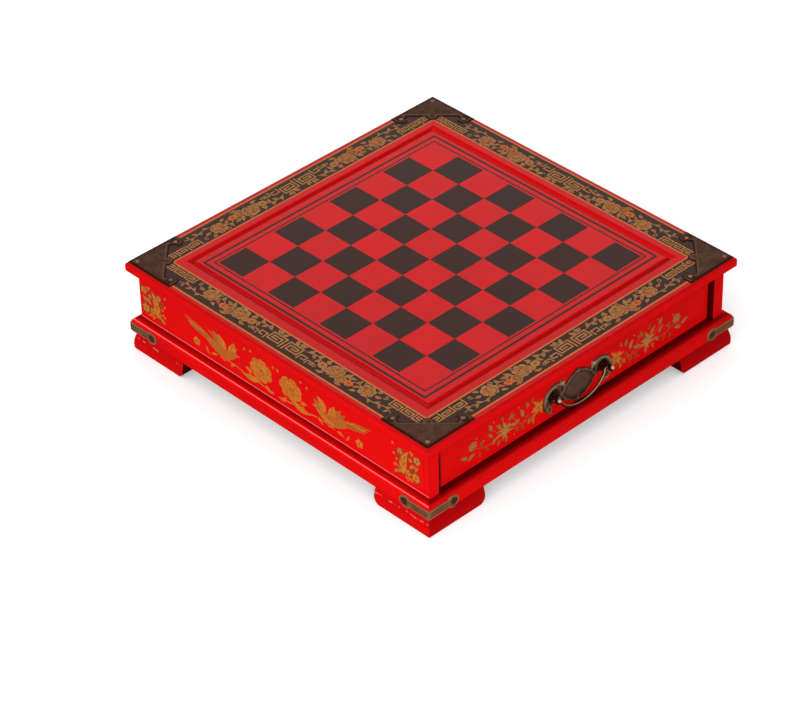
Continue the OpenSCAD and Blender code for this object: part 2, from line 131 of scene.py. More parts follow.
class Value:
    """The output of a node. An expression on it adds Math nodes."""

    def __init__(self, nodes, socket):
        self.nodes = nodes
        self.socket = socket

    __add__ = maths("ADD")
    __radd__ = maths("ADD", swapped=True)
    __sub__ = maths("SUBTRACT")
    __rsub__ = maths("SUBTRACT", swapped=True)
    __mul__ = maths("MULTIPLY")
    __rmul__ = maths("MULTIPLY", swapped=True)
    __truediv__ = maths("DIVIDE")
    __lt__ = maths("LESS_THAN")
    __gt__ = maths("GREATER_THAN")
    __mod__ = maths("FLOORED_MODULO")
    __abs__ = maths("ABSOLUTE")
    floor = maths("FLOOR")
    root = maths("SQRT")
    larger = maths("MAXIMUM")
    smaller = maths("MINIMUM")

    def ramp(self, low, high):
        """Rises from 0 at low to 1 at high, with soft ends."""
        return self.nodes.node("ShaderNodeMapRange", {"interpolation_type": "SMOOTHSTEP"},
            {"Value": self, "From Min": low, "From Max": high})

    def fall(self, low, high):
        """Falls from 1 at low to 0 at high, with soft ends."""
        return 1 - self.ramp(low, high)


class Nodes:
    """The node tree of the surroundings or of a material."""

    def __init__(self, tree):
        self.tree = tree
        tree.nodes.clear()

    def node(self, kind, settings=None, inputs=None, output=0):
        """Any node, with its settings and its inputs by name. An input takes a value or a socket."""
        made = self.tree.nodes.new(kind)
        for name, value in (settings or {}).items():
            if name == "stops":
                self.set_stops(made.color_ramp, value)
            else:
                setattr(made, name, value)
        for name, value in (inputs or {}).items():
            self.plug(made.inputs[name], value)
        return Value(self, made.outputs[output])

    def set_stops(self, ramp, stops):
        while len(ramp.elements) < len(stops):
            ramp.elements.new(0.5)
        for element, (place, colour) in zip(ramp.elements, stops):
            element.position = place
            element.color = colour

    def plug(self, socket, value):
        if isinstance(value, Value):
            self.tree.links.new(value.socket, socket)
        else:
            socket.default_value = value

    def place(self, stretch=(1, 1, 1)):
        """Where a point lies on the box at rest, in millimetres, or stretched."""
        where = self.node("ShaderNodeTexCoord", output="Object")
        factor = [part / MM for part in stretch]
        return self.node("ShaderNodeVectorMath", {"operation": "MULTIPLY"}, {0: where, 1: factor})

    def axes(self, vector):
        split = self.tree.nodes.new("ShaderNodeSeparateXYZ")
        self.plug(split.inputs[0], vector)
        return [Value(self, socket) for socket in split.outputs]

    def noise(self, vector, scale, detail, roughness=0.5):
        return self.node("ShaderNodeTexNoise", None,
            {"Vector": vector, "Scale": scale, "Detail": detail, "Roughness": roughness})

    def attribute(self, name):
        return self.node("ShaderNodeAttribute", {"attribute_name": name}, output="Fac")

    def mix(self, factor, first, second):
        return self.node("ShaderNodeMix", {"data_type": "RGBA"},
            {0: factor, 6: first, 7: second}, output=2)

    def bump(self, height, strength, distance):
        return self.node("ShaderNodeBump", None,
            {"Height": height, "Strength": strength, "Distance": distance})

    def seen(self):
        """1 for the camera and for what is mirrored or seen through, 0 for all other light."""
        path = self.tree.nodes.new("ShaderNodeLightPath")
        camera, glossy, through = (Value(self, path.outputs[f"Is {ray} Ray"])
            for ray in ("Camera", "Glossy", "Transmission"))
        return camera.larger(glossy).larger(through)

    def end(self, kind, surface):
        self.plug(self.tree.nodes.new(f"ShaderNodeOutput{kind}").inputs["Surface"], surface)


class Finish(Nodes):
    """One material and its node tree."""

    def __init__(self, name):
        self.material = bpy.data.materials.new(name)
        self.material.use_nodes = True
        super().__init__(self.material.node_tree)

    def close(self, **sockets):
        """Ends the tree in one Principled shader. Underscores stand for spaces."""
        inputs = {name.replace("_", " "): value for name, value in sockets.items()}
        self.end("Material", self.node("ShaderNodeBsdfPrincipled", None, inputs))
        return self.material


# ---- finishes ----


def lacquer_red(finish, colours, point):
    """Colour of the lacquer, with the faint clouds and brush marks of sprayed coats."""
    clouds = finish.noise(point, 0.018, 3.0, 0.55).ramp(0.35, 0.7)
    specks = finish.noise(point, 0.35, 4.0, 0.6).ramp(0.3, 0.75)
    base = finish.mix(clouds * 0.55, colours.red, colours.deep_red)
    return finish.mix(specks * 0.14, base, colours.light_red)


def opening_shade(x, y, z):
    """Painted shade where the lacquer lies deep in the drawers' openings: on the ledge, the jambs and the
    ends of the drawer faces.
    """
    turn = x * y
    x, y = abs(x), abs(y)
    face = -FACE_Y
    ledge = (z > PLINTH_TOP - 0.3) * (z < PLINTH_TOP + 0.5) * y.ramp(face - 1.5, face - 0.5)
    ledge = ledge * y.fall(WALL_HALF + 0.4, WALL_HALF + 1.8)
    ledge = ledge * (1 - 0.55 * x.ramp(ROOM_HALF, ROOM_HALF + 1.5))
    ledge = ledge * x.fall(WALL_HALF - 1, WALL_HALF + 1)
    # painted shade on the jambs of the openings
    jamb = (abs(x - ROOM_HALF) < 0.08) * (y > face - 0.5) * (z < PLINTH_TOP + 34)
    # painted shadow: a dark strip along each end of a drawer face, wider at one end than at the other, and
    # fading out towards the top at the wider one
    near_end = (turn > 0) * x.ramp(ROOM_HALF - 4.6, ROOM_HALF - 3.9) * z.fall(44, 51)
    far_end = (turn < 0) * x.ramp(ROOM_HALF - 2.6, ROOM_HALF - 2.0)
    ends = near_end.larger(far_end) * (x < ROOM_HALF - 0.3)
    return ledge.larger(jamb).larger(ends * (y > face - 1) * (y < face + 0.3))


def ledge_shade(x, y, z):
    """Painted half shade on the plinth's ledge, in the corner under the walls and before the drawers."""
    x, y = abs(x), abs(y)
    front = 0.8 * y.fall(WALL_HALF + 2.0, WALL_HALF + 6.1) * (y > x.larger(1.5 - FACE_Y))
    side = 0.56 - 0.2 * x.ramp(WALL_HALF + 0.4, WALL_HALF + 3.2)
    side = side * x.fall(WALL_HALF + 3.0, WALL_HALF + 3.6) * (x > y)
    shade = front * (z < PLINTH_TOP + 0.1) + side * (z < SHADOW_TOP - 0.05)
    return shade * (z > PLINTH_TOP - 2.6)


def foot_shade(x, y, z):
    """Dark on the free ends of the feet, which never see the light."""
    turn = 6.0
    along = abs(x).smaller(abs(y))
    beside = (FOOT_END + turn - along).larger(0.0)
    below = (turn - z).larger(0.0)
    rounded = (beside * beside + below * below).root() > turn - 0.12
    ends = (along < FOOT_END + 0.15).larger(rounded)
    return ends * (z < FOOT_TOP - 0.05) * (along < FOOT_END + turn)


def foot_glint(finish, x, y, z):
    """Broken, wandering line of light over the swelling of the feet, on the sides without drawers."""
    along = finish.place((0.05, 1.0, 0.05))
    dashes = finish.noise(along, 0.17, 3.0, 0.6).ramp(0.5, 0.62)
    wander = (finish.noise(along, 0.07, 1.0) - 0.5) * 2.2
    line = abs(z + wander - 8.9).fall(0.15, 0.6)
    return line * (abs(x) > abs(y)) * dashes * (z < FOOT_TOP - 0.5)


def make_red_lacquer(colours):
    """Red lacquer of the walls, the drawers, the plinth and the feet. It carries painted shade in the
    drawers' openings, on the ledge and on the feet, and painted highlights along the lower edges of the
    walls and the ledge and over the feet.
    """
    finish = Finish("wall_lacquer")
    point = finish.place()
    x, y, z = axes = finish.axes(point)
    out, deep = abs(x), abs(y)
    ripple = finish.noise(point, 0.05, 2.0)
    fine = finish.noise(point, 1.1, 3.0, 0.6)
    # mask of the painted shade in the drawers' openings and on the plinth's ledge
    shade = opening_shade(*axes).larger(ledge_shade(*axes))
    # painted highlights: a pale line along the lower edge of the walls, and one along the outer edge of the
    # ledge
    wall_painted_highlight = (abs(out - WALL_HALF) < 0.3) * z.fall(SHADOW_TOP + 0.3, SHADOW_TOP + 0.9)
    ledge_painted_highlight = out.ramp(WALL_HALF + 3.5, WALL_HALF + 3.7) * out.fall(WALL_HALF + 4.0, WALL_HALF + 4.2)
    ledge_painted_highlight = ledge_painted_highlight * (out > deep) * (z > PLINTH_TOP - 2.0) * 0.8
    painted_highlight = (wall_painted_highlight * (z > SHADOW_TOP - 0.1)).larger(ledge_painted_highlight)
    drawer_side = (deep > out) * (deep > WALL_HALF + 2)
    # painted shade on the feet: darker higher up, under the plinth, and darker still on the drawer sides
    foot = (z < FOOT_TOP - 0.05) * (0.12 + 0.28 * z.ramp(4.0, 7.5) + 0.55 * drawer_side)
    colour = lacquer_red(finish, colours, point)
    # painted shade, in a dark red
    colour = finish.mix(shade * 0.96, colour, colours.painted_shade)
    # painted highlight, in a pale pink
    colour = finish.mix(painted_highlight * (0.65 + 0.35 * fine), colour, colours.painted_highlight)
    colour = finish.mix(foot, colour, colours.feet_painted_shade)
    # painted highlight: a broken line of light over the swelling of the feet, in the same pale pink
    colour = finish.mix(foot_glint(finish, *axes) * 0.7, colour, colours.painted_highlight)
    # painted shade on the free ends of the feet
    colour = finish.mix(foot_shade(*axes) * 0.96, colour, colours.painted_shade)
    return finish.close(
        Base_Color=colour,
        Roughness=0.26 + 0.1 * fine,
        Specular_IOR_Level=0.0,
        Coat_Weight=0.02 + 0.02 * fine,
        Coat_Roughness=0.12,
        Normal=finish.bump(ripple * 2.0 + fine * 0.02, 0.5, RIPPLE))


def far_painted_light(x, y):
    """Grows over the top towards the back right corner. The red is painted lighter there, a painted light,
    and its coat is made thicker.
    """
    return (x + y).ramp(-120.0, 220.0)


def make_frame_lacquer(colours, sizes):
    """Red rails with a dark band between two gilt lines. The slope of the groove is painted a deeper red, a
    painted shade. On the far sides the edge of the groove has no sheen and is painted a saturated red, a
    painted shade, and its slope is painted lighter below, a painted sheen."""
    finish = Finish("frame_lacquer")
    point = finish.place()
    x, y, z = finish.axes(point)
    out = abs(x).larger(abs(y))
    wobble = finish.noise(point, 0.09, 2.0) - 0.5
    fine = finish.noise(point, 1.1, 3.0, 0.6)
    on_top = z > RAIL_TOP - 0.4
    edge = (abs(x) - 0.5).larger(abs(y)) + wobble * 0.25
    inner_edge = (abs(x) - 1.0).larger(abs(y)) + wobble * 0.25
    inner, outer = sizes.band_inner / MM, sizes.band_outer / MM
    band = (inner_edge > inner) * (edge < outer) * on_top
    outer_line = abs(edge - (outer + 0.3)) < 0.65
    gilt = outer_line.larger(abs(inner_edge - inner) < 0.55) * on_top
    far_light = far_painted_light(x, y)
    far = (x + y) > 0.0
    right = far * (x > y)
    lip = right * out.fall(104.6, 105.6) + far * (1 - right) * out.fall(103.6, 104.8) * on_top
    slope = out < GROOVE_OUT
    low = z.ramp(RAIL_TOP - 0.6, RAIL_TOP - 1.4) * slope
    # painted light: the red of the top border grows lighter towards the back right corner
    border_red = finish.mix(far_light * 0.25, colours.board_red, colours.red)
    red = lacquer_red(finish, colours, point)
    # painted shade: a darker red over the upper part of the frame's rounding
    red = finish.mix(z.ramp(RAIL_TOP - 2.4, RAIL_TOP - 0.7) * 0.88, red, colours.rounding_painted_shade)
    red = finish.mix(on_top * (out < WALL_HALF) * 0.95, red, border_red)
    # painted shade on the groove's slope; on the far sides painted shade on its edge, where the sheen is
    # missing, and a painted sheen lower on the slope
    red = finish.mix(slope * (z < RAIL_TOP - 0.02), red, colours.groove)
    red = finish.mix(lip * (0.5 + 0.45 * right), red, colours.groove_painted_light)
    red = finish.mix(low * far * (0.35 + 0.45 * right), red, colours.groove_painted_sheen)
    clouds = finish.noise(point, 0.08, 3.0, 0.6).ramp(0.3, 0.7)
    dusk = finish.mix(clouds * 0.6, colours.dark, colours.warm_dark)
    worn = finish.mix(fine.ramp(0.35, 0.7) * 0.5, colours.gold_line, colours.gold_shade)
    flat = z.ramp(RAIL_TOP - 0.3, RAIL_TOP - 0.02) * (1 - lip)
    return finish.close(
        Base_Color=finish.mix(gilt, finish.mix(band, red, dusk), worn),
        Roughness=0.26 + 0.1 * fine,
        Metallic=gilt * 0.25,
        Specular_IOR_Level=0.0,
        Coat_Weight=0.03 + flat * (0.24 + 0.1 * fine) * (1 + 0.3 * far_light),
        Coat_Roughness=0.14,
        Normal=finish.bump(wobble * 1.6 + fine * 0.03, 0.5, RIPPLE))


def make_board_lacquer(colours, sizes):
    """Eight by eight squares inside a thin and a thick dark line. Below the face the red is painted deeper,
    a painted shade. On the near sides the edge of the panel has no sheen and is painted the same deeper red,
    a painted shade, and the slope of the groove is painted lighter below, a painted sheen."""
    finish = Finish("squares_lacquer")
    point = finish.place()
    x, y, z = finish.axes(point)
    reach = abs(x).larger(abs(y))
    near = (x + y) < 0.0
    rim = near * reach.ramp(98.4, 99.8)
    low = near * reach.ramp(101.3, 101.8)
    far_light = far_painted_light(x, y)
    x = (x - sizes.aside / MM) / (sizes.square / MM)
    y = (y - sizes.back / MM) / (sizes.square_deep / MM)
    column, row = x.floor(), y.floor()
    odd = (column + row) % 2.0
    each = finish.node("ShaderNodeCombineXYZ", None, {0: column, 1: row, 2: 0.0})
    tone = finish.node("ShaderNodeTexWhiteNoise", {"noise_dimensions": "3D"}, {"Vector": each})
    squares = abs(x).larger(abs(y))
    thin = abs(squares - 4.034) < 0.024
    thick = abs(squares - 4.224) < 0.038
    dark = (odd * (squares < 3.955)).larger(thin).larger(thick)
    face = z > RAIL_TOP - 0.36
    wobble = finish.noise(point, 0.12, 2.0) - 0.5
    clouds = finish.noise(point, 0.03, 4.0, 0.6).ramp(0.3, 0.7)
    fine = finish.noise(point, 1.0, 3.0, 0.6)
    # painted light: the red of the squares grows lighter towards the back right corner
    red = finish.mix(clouds * 0.2 + far_light * 0.21, colours.board_red, colours.red)
    red = finish.mix(tone * 0.16, red, colours.deep_red)
    # painted shade below the face and on the panel's edge on the near sides, and a painted sheen lower on
    # the groove's slope there
    red = finish.mix((1 - face).larger(rim), red, colours.groove)
    red = finish.mix(rim * 0.15, red, colours.groove_painted_light)
    red = finish.mix(low * 0.9, red, colours.groove_painted_sheen)
    dusk = finish.mix(clouds * 0.5, colours.dark, colours.warm_dark)
    dusk = finish.mix(tone * 0.18, dusk, colours.warm_dark)
    return finish.close(
        Base_Color=finish.mix(dark, red, dusk),
        Roughness=0.3 + 0.12 * fine,
        Specular_IOR_Level=0.0,
        Coat_Weight=0.03 + face * (1 - rim) * (0.24 + 0.1 * fine) * (1 + 0.32 * far_light),
        Coat_Roughness=0.14,
        Normal=finish.bump(wobble * 1.5 + fine * 0.08 + dark * 0.12, 0.5, RIPPLE))


def make_wood(name, colours, along):
    """Planed softwood whose grain runs along an axis."""
    finish = Finish(name)
    point = finish.place([0.12 if axis == along else 1.0 for axis in "xyz"])
    bend = finish.noise(point, 0.05, 3.0, 0.6)
    rings = finish.node("ShaderNodeTexWave", {"wave_type": "BANDS", "bands_direction": "DIAGONAL"},
        {"Vector": point, "Scale": 0.055, "Distortion": 5.0, "Detail": 3.0, "Detail Scale": 0.3},
        output="Fac")
    pores = finish.noise(point, 2.2, 4.0, 0.7)
    colour = finish.mix(rings * 0.65, colours.wood, colours.wood_dark)
    colour = finish.mix(pores.ramp(0.45, 0.75) * 0.35, colour, colours.wood_dark)
    colour = finish.mix(bend.ramp(0.4, 0.7) * 0.3, colour, colours.wood_light)
    return finish.close(
        Base_Color=colour,
        Roughness=0.58 + 0.16 * pores,
        Specular_IOR_Level=0.3,
        Normal=finish.bump(pores * 0.7 + rings * 0.4, 0.5, 0.0001))


def make_felt(colours):
    """Dark felt with a light nap."""
    finish = Finish("drawer_felt")
    point = finish.place()
    nap = finish.noise(point, 1.6, 6.0, 0.8)
    patches = finish.noise(point, 0.05, 3.0, 0.6)
    colour = finish.mix(nap.ramp(0.35, 0.7), colours.felt, colours.felt_light)
    colour = finish.mix(patches.ramp(0.35, 0.7) * 0.4, colour, colours.felt)
    return finish.close(
        Base_Color=colour,
        Roughness=0.95,
        Specular_IOR_Level=0.1,
        Sheen_Weight=0.25,
        Sheen_Roughness=0.5,
        Normal=finish.bump(nap, 0.8, 0.0004))


def make_bronze(name, tarnish_and_shade_brown, dark, light, rubbed, ball=False):
    """Aged bronze. Raised edges carry the attribute rub and show brighter metal, as rubbed wear and as
    painted highlight; hollows carry the attribute hollow and darken, as patina and as painted shade. The
    posts get a painted highlight only on the ball at their end, and painted shade elsewhere."""
    finish = Finish(name)
    point = finish.place()
    patina = finish.noise(point, 0.22, 4.0, 0.65).ramp(0.3, 0.75)
    fine = finish.noise(point, 1.5, 4.0, 0.7)
    if ball:
        # painted highlight on the top front of each post's ball, and painted shade over the rest of the post
        _x, y, z = finish.axes(point)
        across = PIVOT_Z - PIVOT_Y
        rub = (abs(y) + z).ramp(across + 4.2, across + 4.8)
        hollow = 0.85 - rub
    else:
        rub, hollow = finish.attribute("rub"), finish.attribute("hollow")
    colour = finish.mix(patina * 0.6, dark, light)
    colour = finish.mix(hollow.larger(0.0).smaller(0.97), colour, tarnish_and_shade_brown)
    colour = finish.mix((rub * (0.5 + 0.6 * fine)).smaller(1.0), colour, rubbed)
    return finish.close(
        Base_Color=colour,
        Metallic=0.35 + 0.2 * patina,
        Roughness=0.36 + 0.2 * fine,
        Specular_IOR_Level=0.0,
        Normal=finish.bump(fine * 0.5 + patina, 0.45, 0.00012))


def make_gilding(name, tints, bare_colour, shine, wear):
    """Gold paint whose five tints follow the attribute tone, from SHADE to OUTLINE."""
    finish = Finish(name)
    point = finish.place()
    tone = finish.attribute("tone")
    brush = finish.noise(point, 0.45, 4.0, 0.7)
    grains = finish.noise(point, 1.9, 3.0, 0.7)
    stops = [(0.25 * place, tint) for place, tint in enumerate(tints)]
    scaled = (tone - SHADE) / (OUTLINE - SHADE)
    colour = finish.node("ShaderNodeValToRGB", {"stops": stops}, {"Fac": scaled})
    colour = finish.mix(brush.ramp(0.38, 0.68) * 0.45, colour, tints[0])
    bare = brush.ramp(0.6, 0.8) * grains.ramp(0.45, 0.65)
    colour = finish.mix(bare * wear, colour, bare_colour)
    return finish.close(
        Base_Color=colour,
        Metallic=shine,
        Roughness=0.4 + 0.2 * grains,
        Specular_IOR_Level=0.08,
        Normal=finish.bump(brush * 0.6 + grains * 0.4, 0.4, 0.00006))


# ---- mesh makers ----


def quarter_turn(turn):
    """Turns points round the box's middle by a number of right angles."""
    cos, sin = [(1, 0), (0, 1), (-1, 0), (0, -1)][turn % 4]
    return np.array([[cos, -sin, 0], [sin, cos, 0], [0, 0, 1]], float)


def finish_piece(mesh, name, material, body, sharp):
    """Makes the visible piece. Its edges are sharp from an angle on."""
    piece = bpy.data.objects.new(name, mesh)
    bpy.context.scene.collection.objects.link(piece)
    mesh.materials.append(material)
    mesh.shade_smooth()
    mesh.set_sharp_from_angle(angle=math.radians(sharp))
    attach(piece, body)
    return piece


def add_attributes(mesh, **named):
    for name, values in named.items():
        layer = mesh.attributes.new(name, "FLOAT", "POINT")
        layer.data.foreach_set("value", np.asarray(values, np.float32))


def write(work, mesh):
    work.to_mesh(mesh)
    work.free()
    return mesh


class Surface:
    """A flat face of the box: an origin, directions across and up it, and one out of it."""

    def __init__(self, origin, across, up, turn):
        spin = quarter_turn(turn)
        self.origin, self.across, self.up = (spin @ np.array(part, float) for part in (origin, across, up))
        self.out = np.cross(self.across, self.up)

    def at(self, across, up, height):
        across, up, height = (np.asarray(part, float)[..., None] for part in (across, up, height))
        return (self.origin + across * self.across + up * self.up + height * self.out) * MM


def stamped(name, edge, relief, span, step, surface):
    """Sheet pressed to a relief. edge(x, y) is below 0 inside its outline, relief(x, y, inset) gives its
    height, its rub and its hollow, and its rim goes down to the surface."""
    xs = np.arange(span[0], span[1] + step, step)
    ys = np.arange(span[2], span[3] + step, step)
    x, y = np.meshgrid(xs, ys, indexing="ij")

    def distance(px, py):
        small = step / 10
        gx = (edge(px + small, py) - edge(px - small, py)) / (2 * small)
        gy = (edge(px, py + small) - edge(px, py - small)) / (2 * small)
        return edge(px, py), gx, gy, np.maximum(gx * gx + gy * gy, 1e-6)
    inside = edge(x, y) < 0
    cell = inside[:-1, :-1] | inside[1:, :-1] | inside[:-1, 1:] | inside[1:, 1:]
    used = np.zeros(x.shape, bool)
    rows, columns = cell.shape
    for i, j in ((0, 0), (1, 0), (0, 1), (1, 1)):
        used[i:rows + i, j:columns + j] |= cell
    moved = used & ~inside
    px, py = x[moved], y[moved]
    for _ in range(4):
        here, gx, gy, size = distance(px, py)
        px = px - here * (gx / size)
        py = py - here * (gy / size)
    limit = 1.6 * step
    x[moved] += np.clip(px - x[moved], -limit, limit)
    y[moved] += np.clip(py - y[moved], -limit, limit)
    here, _gx, _gy, size = distance(x[used], y[used])
    height, rub, hollow = relief(x[used], y[used], np.maximum(-here / np.sqrt(size), 0))
    index = np.full(x.shape, -1)
    index[used] = np.arange(used.sum())
    i, j = np.nonzero(cell)
    faces = np.stack([index[i, j], index[i + 1, j], index[i + 1, j + 1], index[i, j + 1]], 1)
    mesh = bpy.data.meshes.new(name)
    mesh.from_pydata(surface.at(x[used], y[used], height).tolist(), [], faces.tolist())
    add_attributes(mesh, rub=rub, hollow=hollow)
    work = bmesh.new()
    work.from_mesh(mesh)
    rim = [line for line in work.edges if line.is_boundary]
    out, floor = Vector(surface.out), Vector(surface.origin * MM)
    for vertex in bmesh.ops.extrude_edge_only(work, edges=rim)["geom"]:
        if isinstance(vertex, bmesh.types.BMVert):
            vertex.co -= out * (vertex.co - floor).dot(out)
    bmesh.ops.dissolve_degenerate(work, edges=work.edges, dist=0.000004)
    return write(work, mesh)


def circle_edge(x, y, cx, cy, radius):
    return np.hypot(x - cx, y - cy) - radius


def soft(value, low, high):
    """Rises from 0 at low to 1 at high, with soft ends."""
    t = np.clip((value - low) / (high - low), 0, 1)
    return t * t * (3 - 2 * t)


def ridge(value, middle, width):
    """A bell of height 1 round its middle."""
    return np.exp(-((value - middle) / width) ** 2)


def round_angles(count, start=0.0):
    return [start + math.tau * k / count for k in range(count)]


def around(centre, wide, high, angle):
    """Point of an oval at an angle."""
    return centre[0] + wide * math.cos(angle), centre[1] + high * math.sin(angle)


def tube(name, points, radius, lit):
    """Closed round wire along points, which turn smoothly. Along the side that faces lit it carries a
    painted highlight, and along the other a painted shade."""
    sides = 24
    points = [Vector(point) for point in points]
    work = bmesh.new()
    rings, rub, hollow = [], [], []
    side = Vector((0, 1, 0))
    for i, point in enumerate(points):
        ahead = (points[min(i + 1, len(points) - 1)] - points[max(i - 1, 0)]).normalized()
        side = (side - ahead * side.dot(ahead)).normalized()
        other = ahead.cross(side)
        rings.append([work.verts.new(point + radius * (side * math.cos(a) + other * math.sin(a)))
            for a in round_angles(sides)])
        top = (lit - ahead * lit.dot(ahead)).normalized()
        for vertex in rings[-1]:
            # painted highlight on the side that faces lit, painted shade on the other
            facing = (vertex.co - point).dot(top) / radius
            rub.append(1.8 * float(soft(facing, 0.94, 1.0)))
            hollow.append(0.95 * float(soft(-facing, -0.94, -0.7)))
    for first, second in zip(rings, rings[1:]):
        for k in range(sides):
            n = (k + 1) % sides
            work.faces.new((first[k], first[n], second[n], second[k]))
    work.faces.new(rings[0])
    work.faces.new(list(reversed(rings[-1])))
    bmesh.ops.recalc_face_normals(work, faces=work.faces)
    mesh = write(work, bpy.data.meshes.new(name))
    add_attributes(mesh, rub=rub, hollow=hollow)
    return mesh


# ---- brushwork: flat shapes of gold paint, in millimetres on a surface ----


def turned(base, x, y, angle):
    """A point by its base, turned by an angle."""
    c, s = math.cos(angle), math.sin(angle)
    return base[0] + (x * c - y * s), base[1] + (x * s + y * c)


def direction(first, second):
    dx, dy = second[0] - first[0], second[1] - first[1]
    size = math.hypot(dx, dy) or 1.0
    return dx / size, dy / size


def smooth(points, steps=5):
    """Points of a soft curve through the given ones, which may carry a width."""
    knots = [np.array(point, float) for point in points]
    last = len(knots) - 1
    curve = []
    for i in range(last):
        before, first, second, after = (knots[min(max(k, 0), last)] for k in range(i - 1, i + 3))
        for t in (k / steps for k in range(steps)):
            curve.append(0.5 * (2 * first + (second - before) * t
                + (2 * before - 5 * first + 4 * second - after) * t ** 2
                + (after - before + 3 * (first - second)) * t ** 3))
    return curve + [knots[-1]]


class Brush:
    """Collects painted shapes and lays them on a surface as one thin raised mesh. Each next
    shape lies a hair higher, so that no two that cross share a height. A shape's lift brings it
    over the others or under them."""

    layers = 32
    layer = 0.0022
    over = 0.08
    under = -0.035

    def __init__(self, thickness):
        self.thickness = thickness
        self.shapes = []

    def fill(self, outline, tone, lift=0.0):
        """One shape. Its outline is kept anticlockwise, so that its faces point outwards."""
        step = self.layer / 8 if lift < 0 else self.layer
        height = self.thickness + lift + len(self.shapes) % self.layers * step
        following = outline[1:] + outline[:1]
        area = sum(x * next_y - next_x * y for (x, y), (next_x, next_y) in zip(outline, following))
        self.shapes.append((outline if area > 0 else outline[::-1], tone, height))

    def swell(self, at, spine, tone=0.0, lift=0.0, more=0.0):
        """One shape round a spine of points with a width at each."""
        path = smooth([(*at(x, y), width + more) for x, y, width in spine])
        left, right = [], []
        for i, (x, y, width) in enumerate(path):
            ax, ay = direction(path[max(i - 1, 0)], path[min(i + 1, len(path) - 1)])
            half = max(width, 0.05) / 2
            left.append((x - ay * half, y + ax * half))
            right.append((x + ay * half, y - ax * half))
        self.fill(left + right[::-1], tone, lift)

    def cloud(self, centre, wide, high, bumps, depth, turn, tone, lift=0.0):
        """Round patch with a scalloped edge."""
        outline = []
        for a in round_angles(bumps * 6):
            reach = 1 - depth * (1 - abs(math.sin(bumps * (a - turn) / 2)))
            outline.append(around(centre, wide * reach, high * reach, a))
        self.fill(outline, tone, lift)

    def stroke(self, path, width, tone, taper=0.0, lift=0.0):
        """Ribbon along a path. It narrows towards its end by taper."""
        left, right = [], []
        last = len(path) - 1
        for i, here in enumerate(path):
            before, after = path[max(i - 1, 0)], path[min(i + 1, last)]
            ax, ay = direction(before, here) if i else direction(here, after)
            bx, by = direction(here, after) if i < last else (ax, ay)
            nx, ny = direction((0, 0), (-(ay + by), ax + bx))
            bend = max(0.5, nx * -ay + ny * ax)
            half = width / 2 * (1 - taper * i / last) / bend
            left.append((here[0] + nx * half, here[1] + ny * half))
            right.append((here[0] - nx * half, here[1] - ny * half))
        for i in range(last):
            self.fill([left[i], right[i], right[i + 1], left[i + 1]], tone, lift)

    def curve(self, at, knots, width, tone, taper=0.0, steps=10, lift=0.0):
        """Stroke along an arc from the first knot to the last, pulled towards the middle one."""
        path = []
        ends = [at(*knot) for knot in knots]
        for t in (i / steps for i in range(steps + 1)):
            path.append(tuple((1 - t) ** 2 * a + 2 * t * (1 - t) * b + t * t * c
                for a, b, c in zip(*ends)))
        self.stroke(path, width, tone, taper, lift)

    def leaf(self, base, tip, width, tone, bend, vein, lift=0.0):
        """Two halves of a pointed leaf, with a bare vein between them."""
        length = math.dist(base, tip)
        angle = math.atan2(tip[1] - base[1], tip[0] - base[0])
        for side in (1, -1):
            outer, inner = [], []
            for t in (i / 8 for i in range(9)):
                middle = bend * length * math.sin(math.pi * t)
                swell = math.sin(math.pi * t ** 0.8) * width / 2
                gap = vein / 2 * math.sin(math.pi * t)
                outer.append((t * length, middle + side * max(swell, gap)))
                inner.append((t * length, middle + side * gap))
            outline = outer + inner[-2:0:-1]
            self.fill([turned(base, x, y, angle) for x, y in outline], tone, lift)

    def leaves(self, at, rows, tone, bend=0.0, vein=0.0, lift=0.0):
        """Leaves by rows of base, tip and width."""
        for x, y, tip_x, tip_y, width in rows:
            self.leaf(at(x, y), at(tip_x, tip_y), width, tone, bend, vein, lift)

    def petal(self, centre, angle, start, reach, width, tone):
        """Rounded petal with a notched end that points away from a centre."""
        outline = []
        for t in (i / 12 for i in range(13)):
            a = math.pi * (t - 0.5)
            dent = 1 - 0.2 * (1 - abs(2 * t - 1)) ** 3
            x = start + (reach - start) * (0.45 + 0.55 * math.cos(a) * dent)
            outline.append((x, width / 2 * math.sin(a)))
        outline += [(start, width * 0.16), (start, -width * 0.16)]
        self.fill([turned(centre, x, y, angle) for x, y in outline], tone)

    def disc(self, centre, radius, tone, lift=0.0):
        self.fill([around(centre, radius, radius, a) for a in round_angles(12)], tone, lift)

    def discs(self, at, places, radius, tone):
        for place in places:
            self.disc(at(*place), radius, tone)

    def blossom(self, centre, radius, petals, turn, tone=0.0):
        """Flat flower of a few round petals."""
        for angle in round_angles(petals, turn):
            self.petal(centre, angle, radius * 0.12, radius, radius * 3.6 / petals, tone)
        self.disc(centre, radius * 0.26, RED_GOLD, self.over)

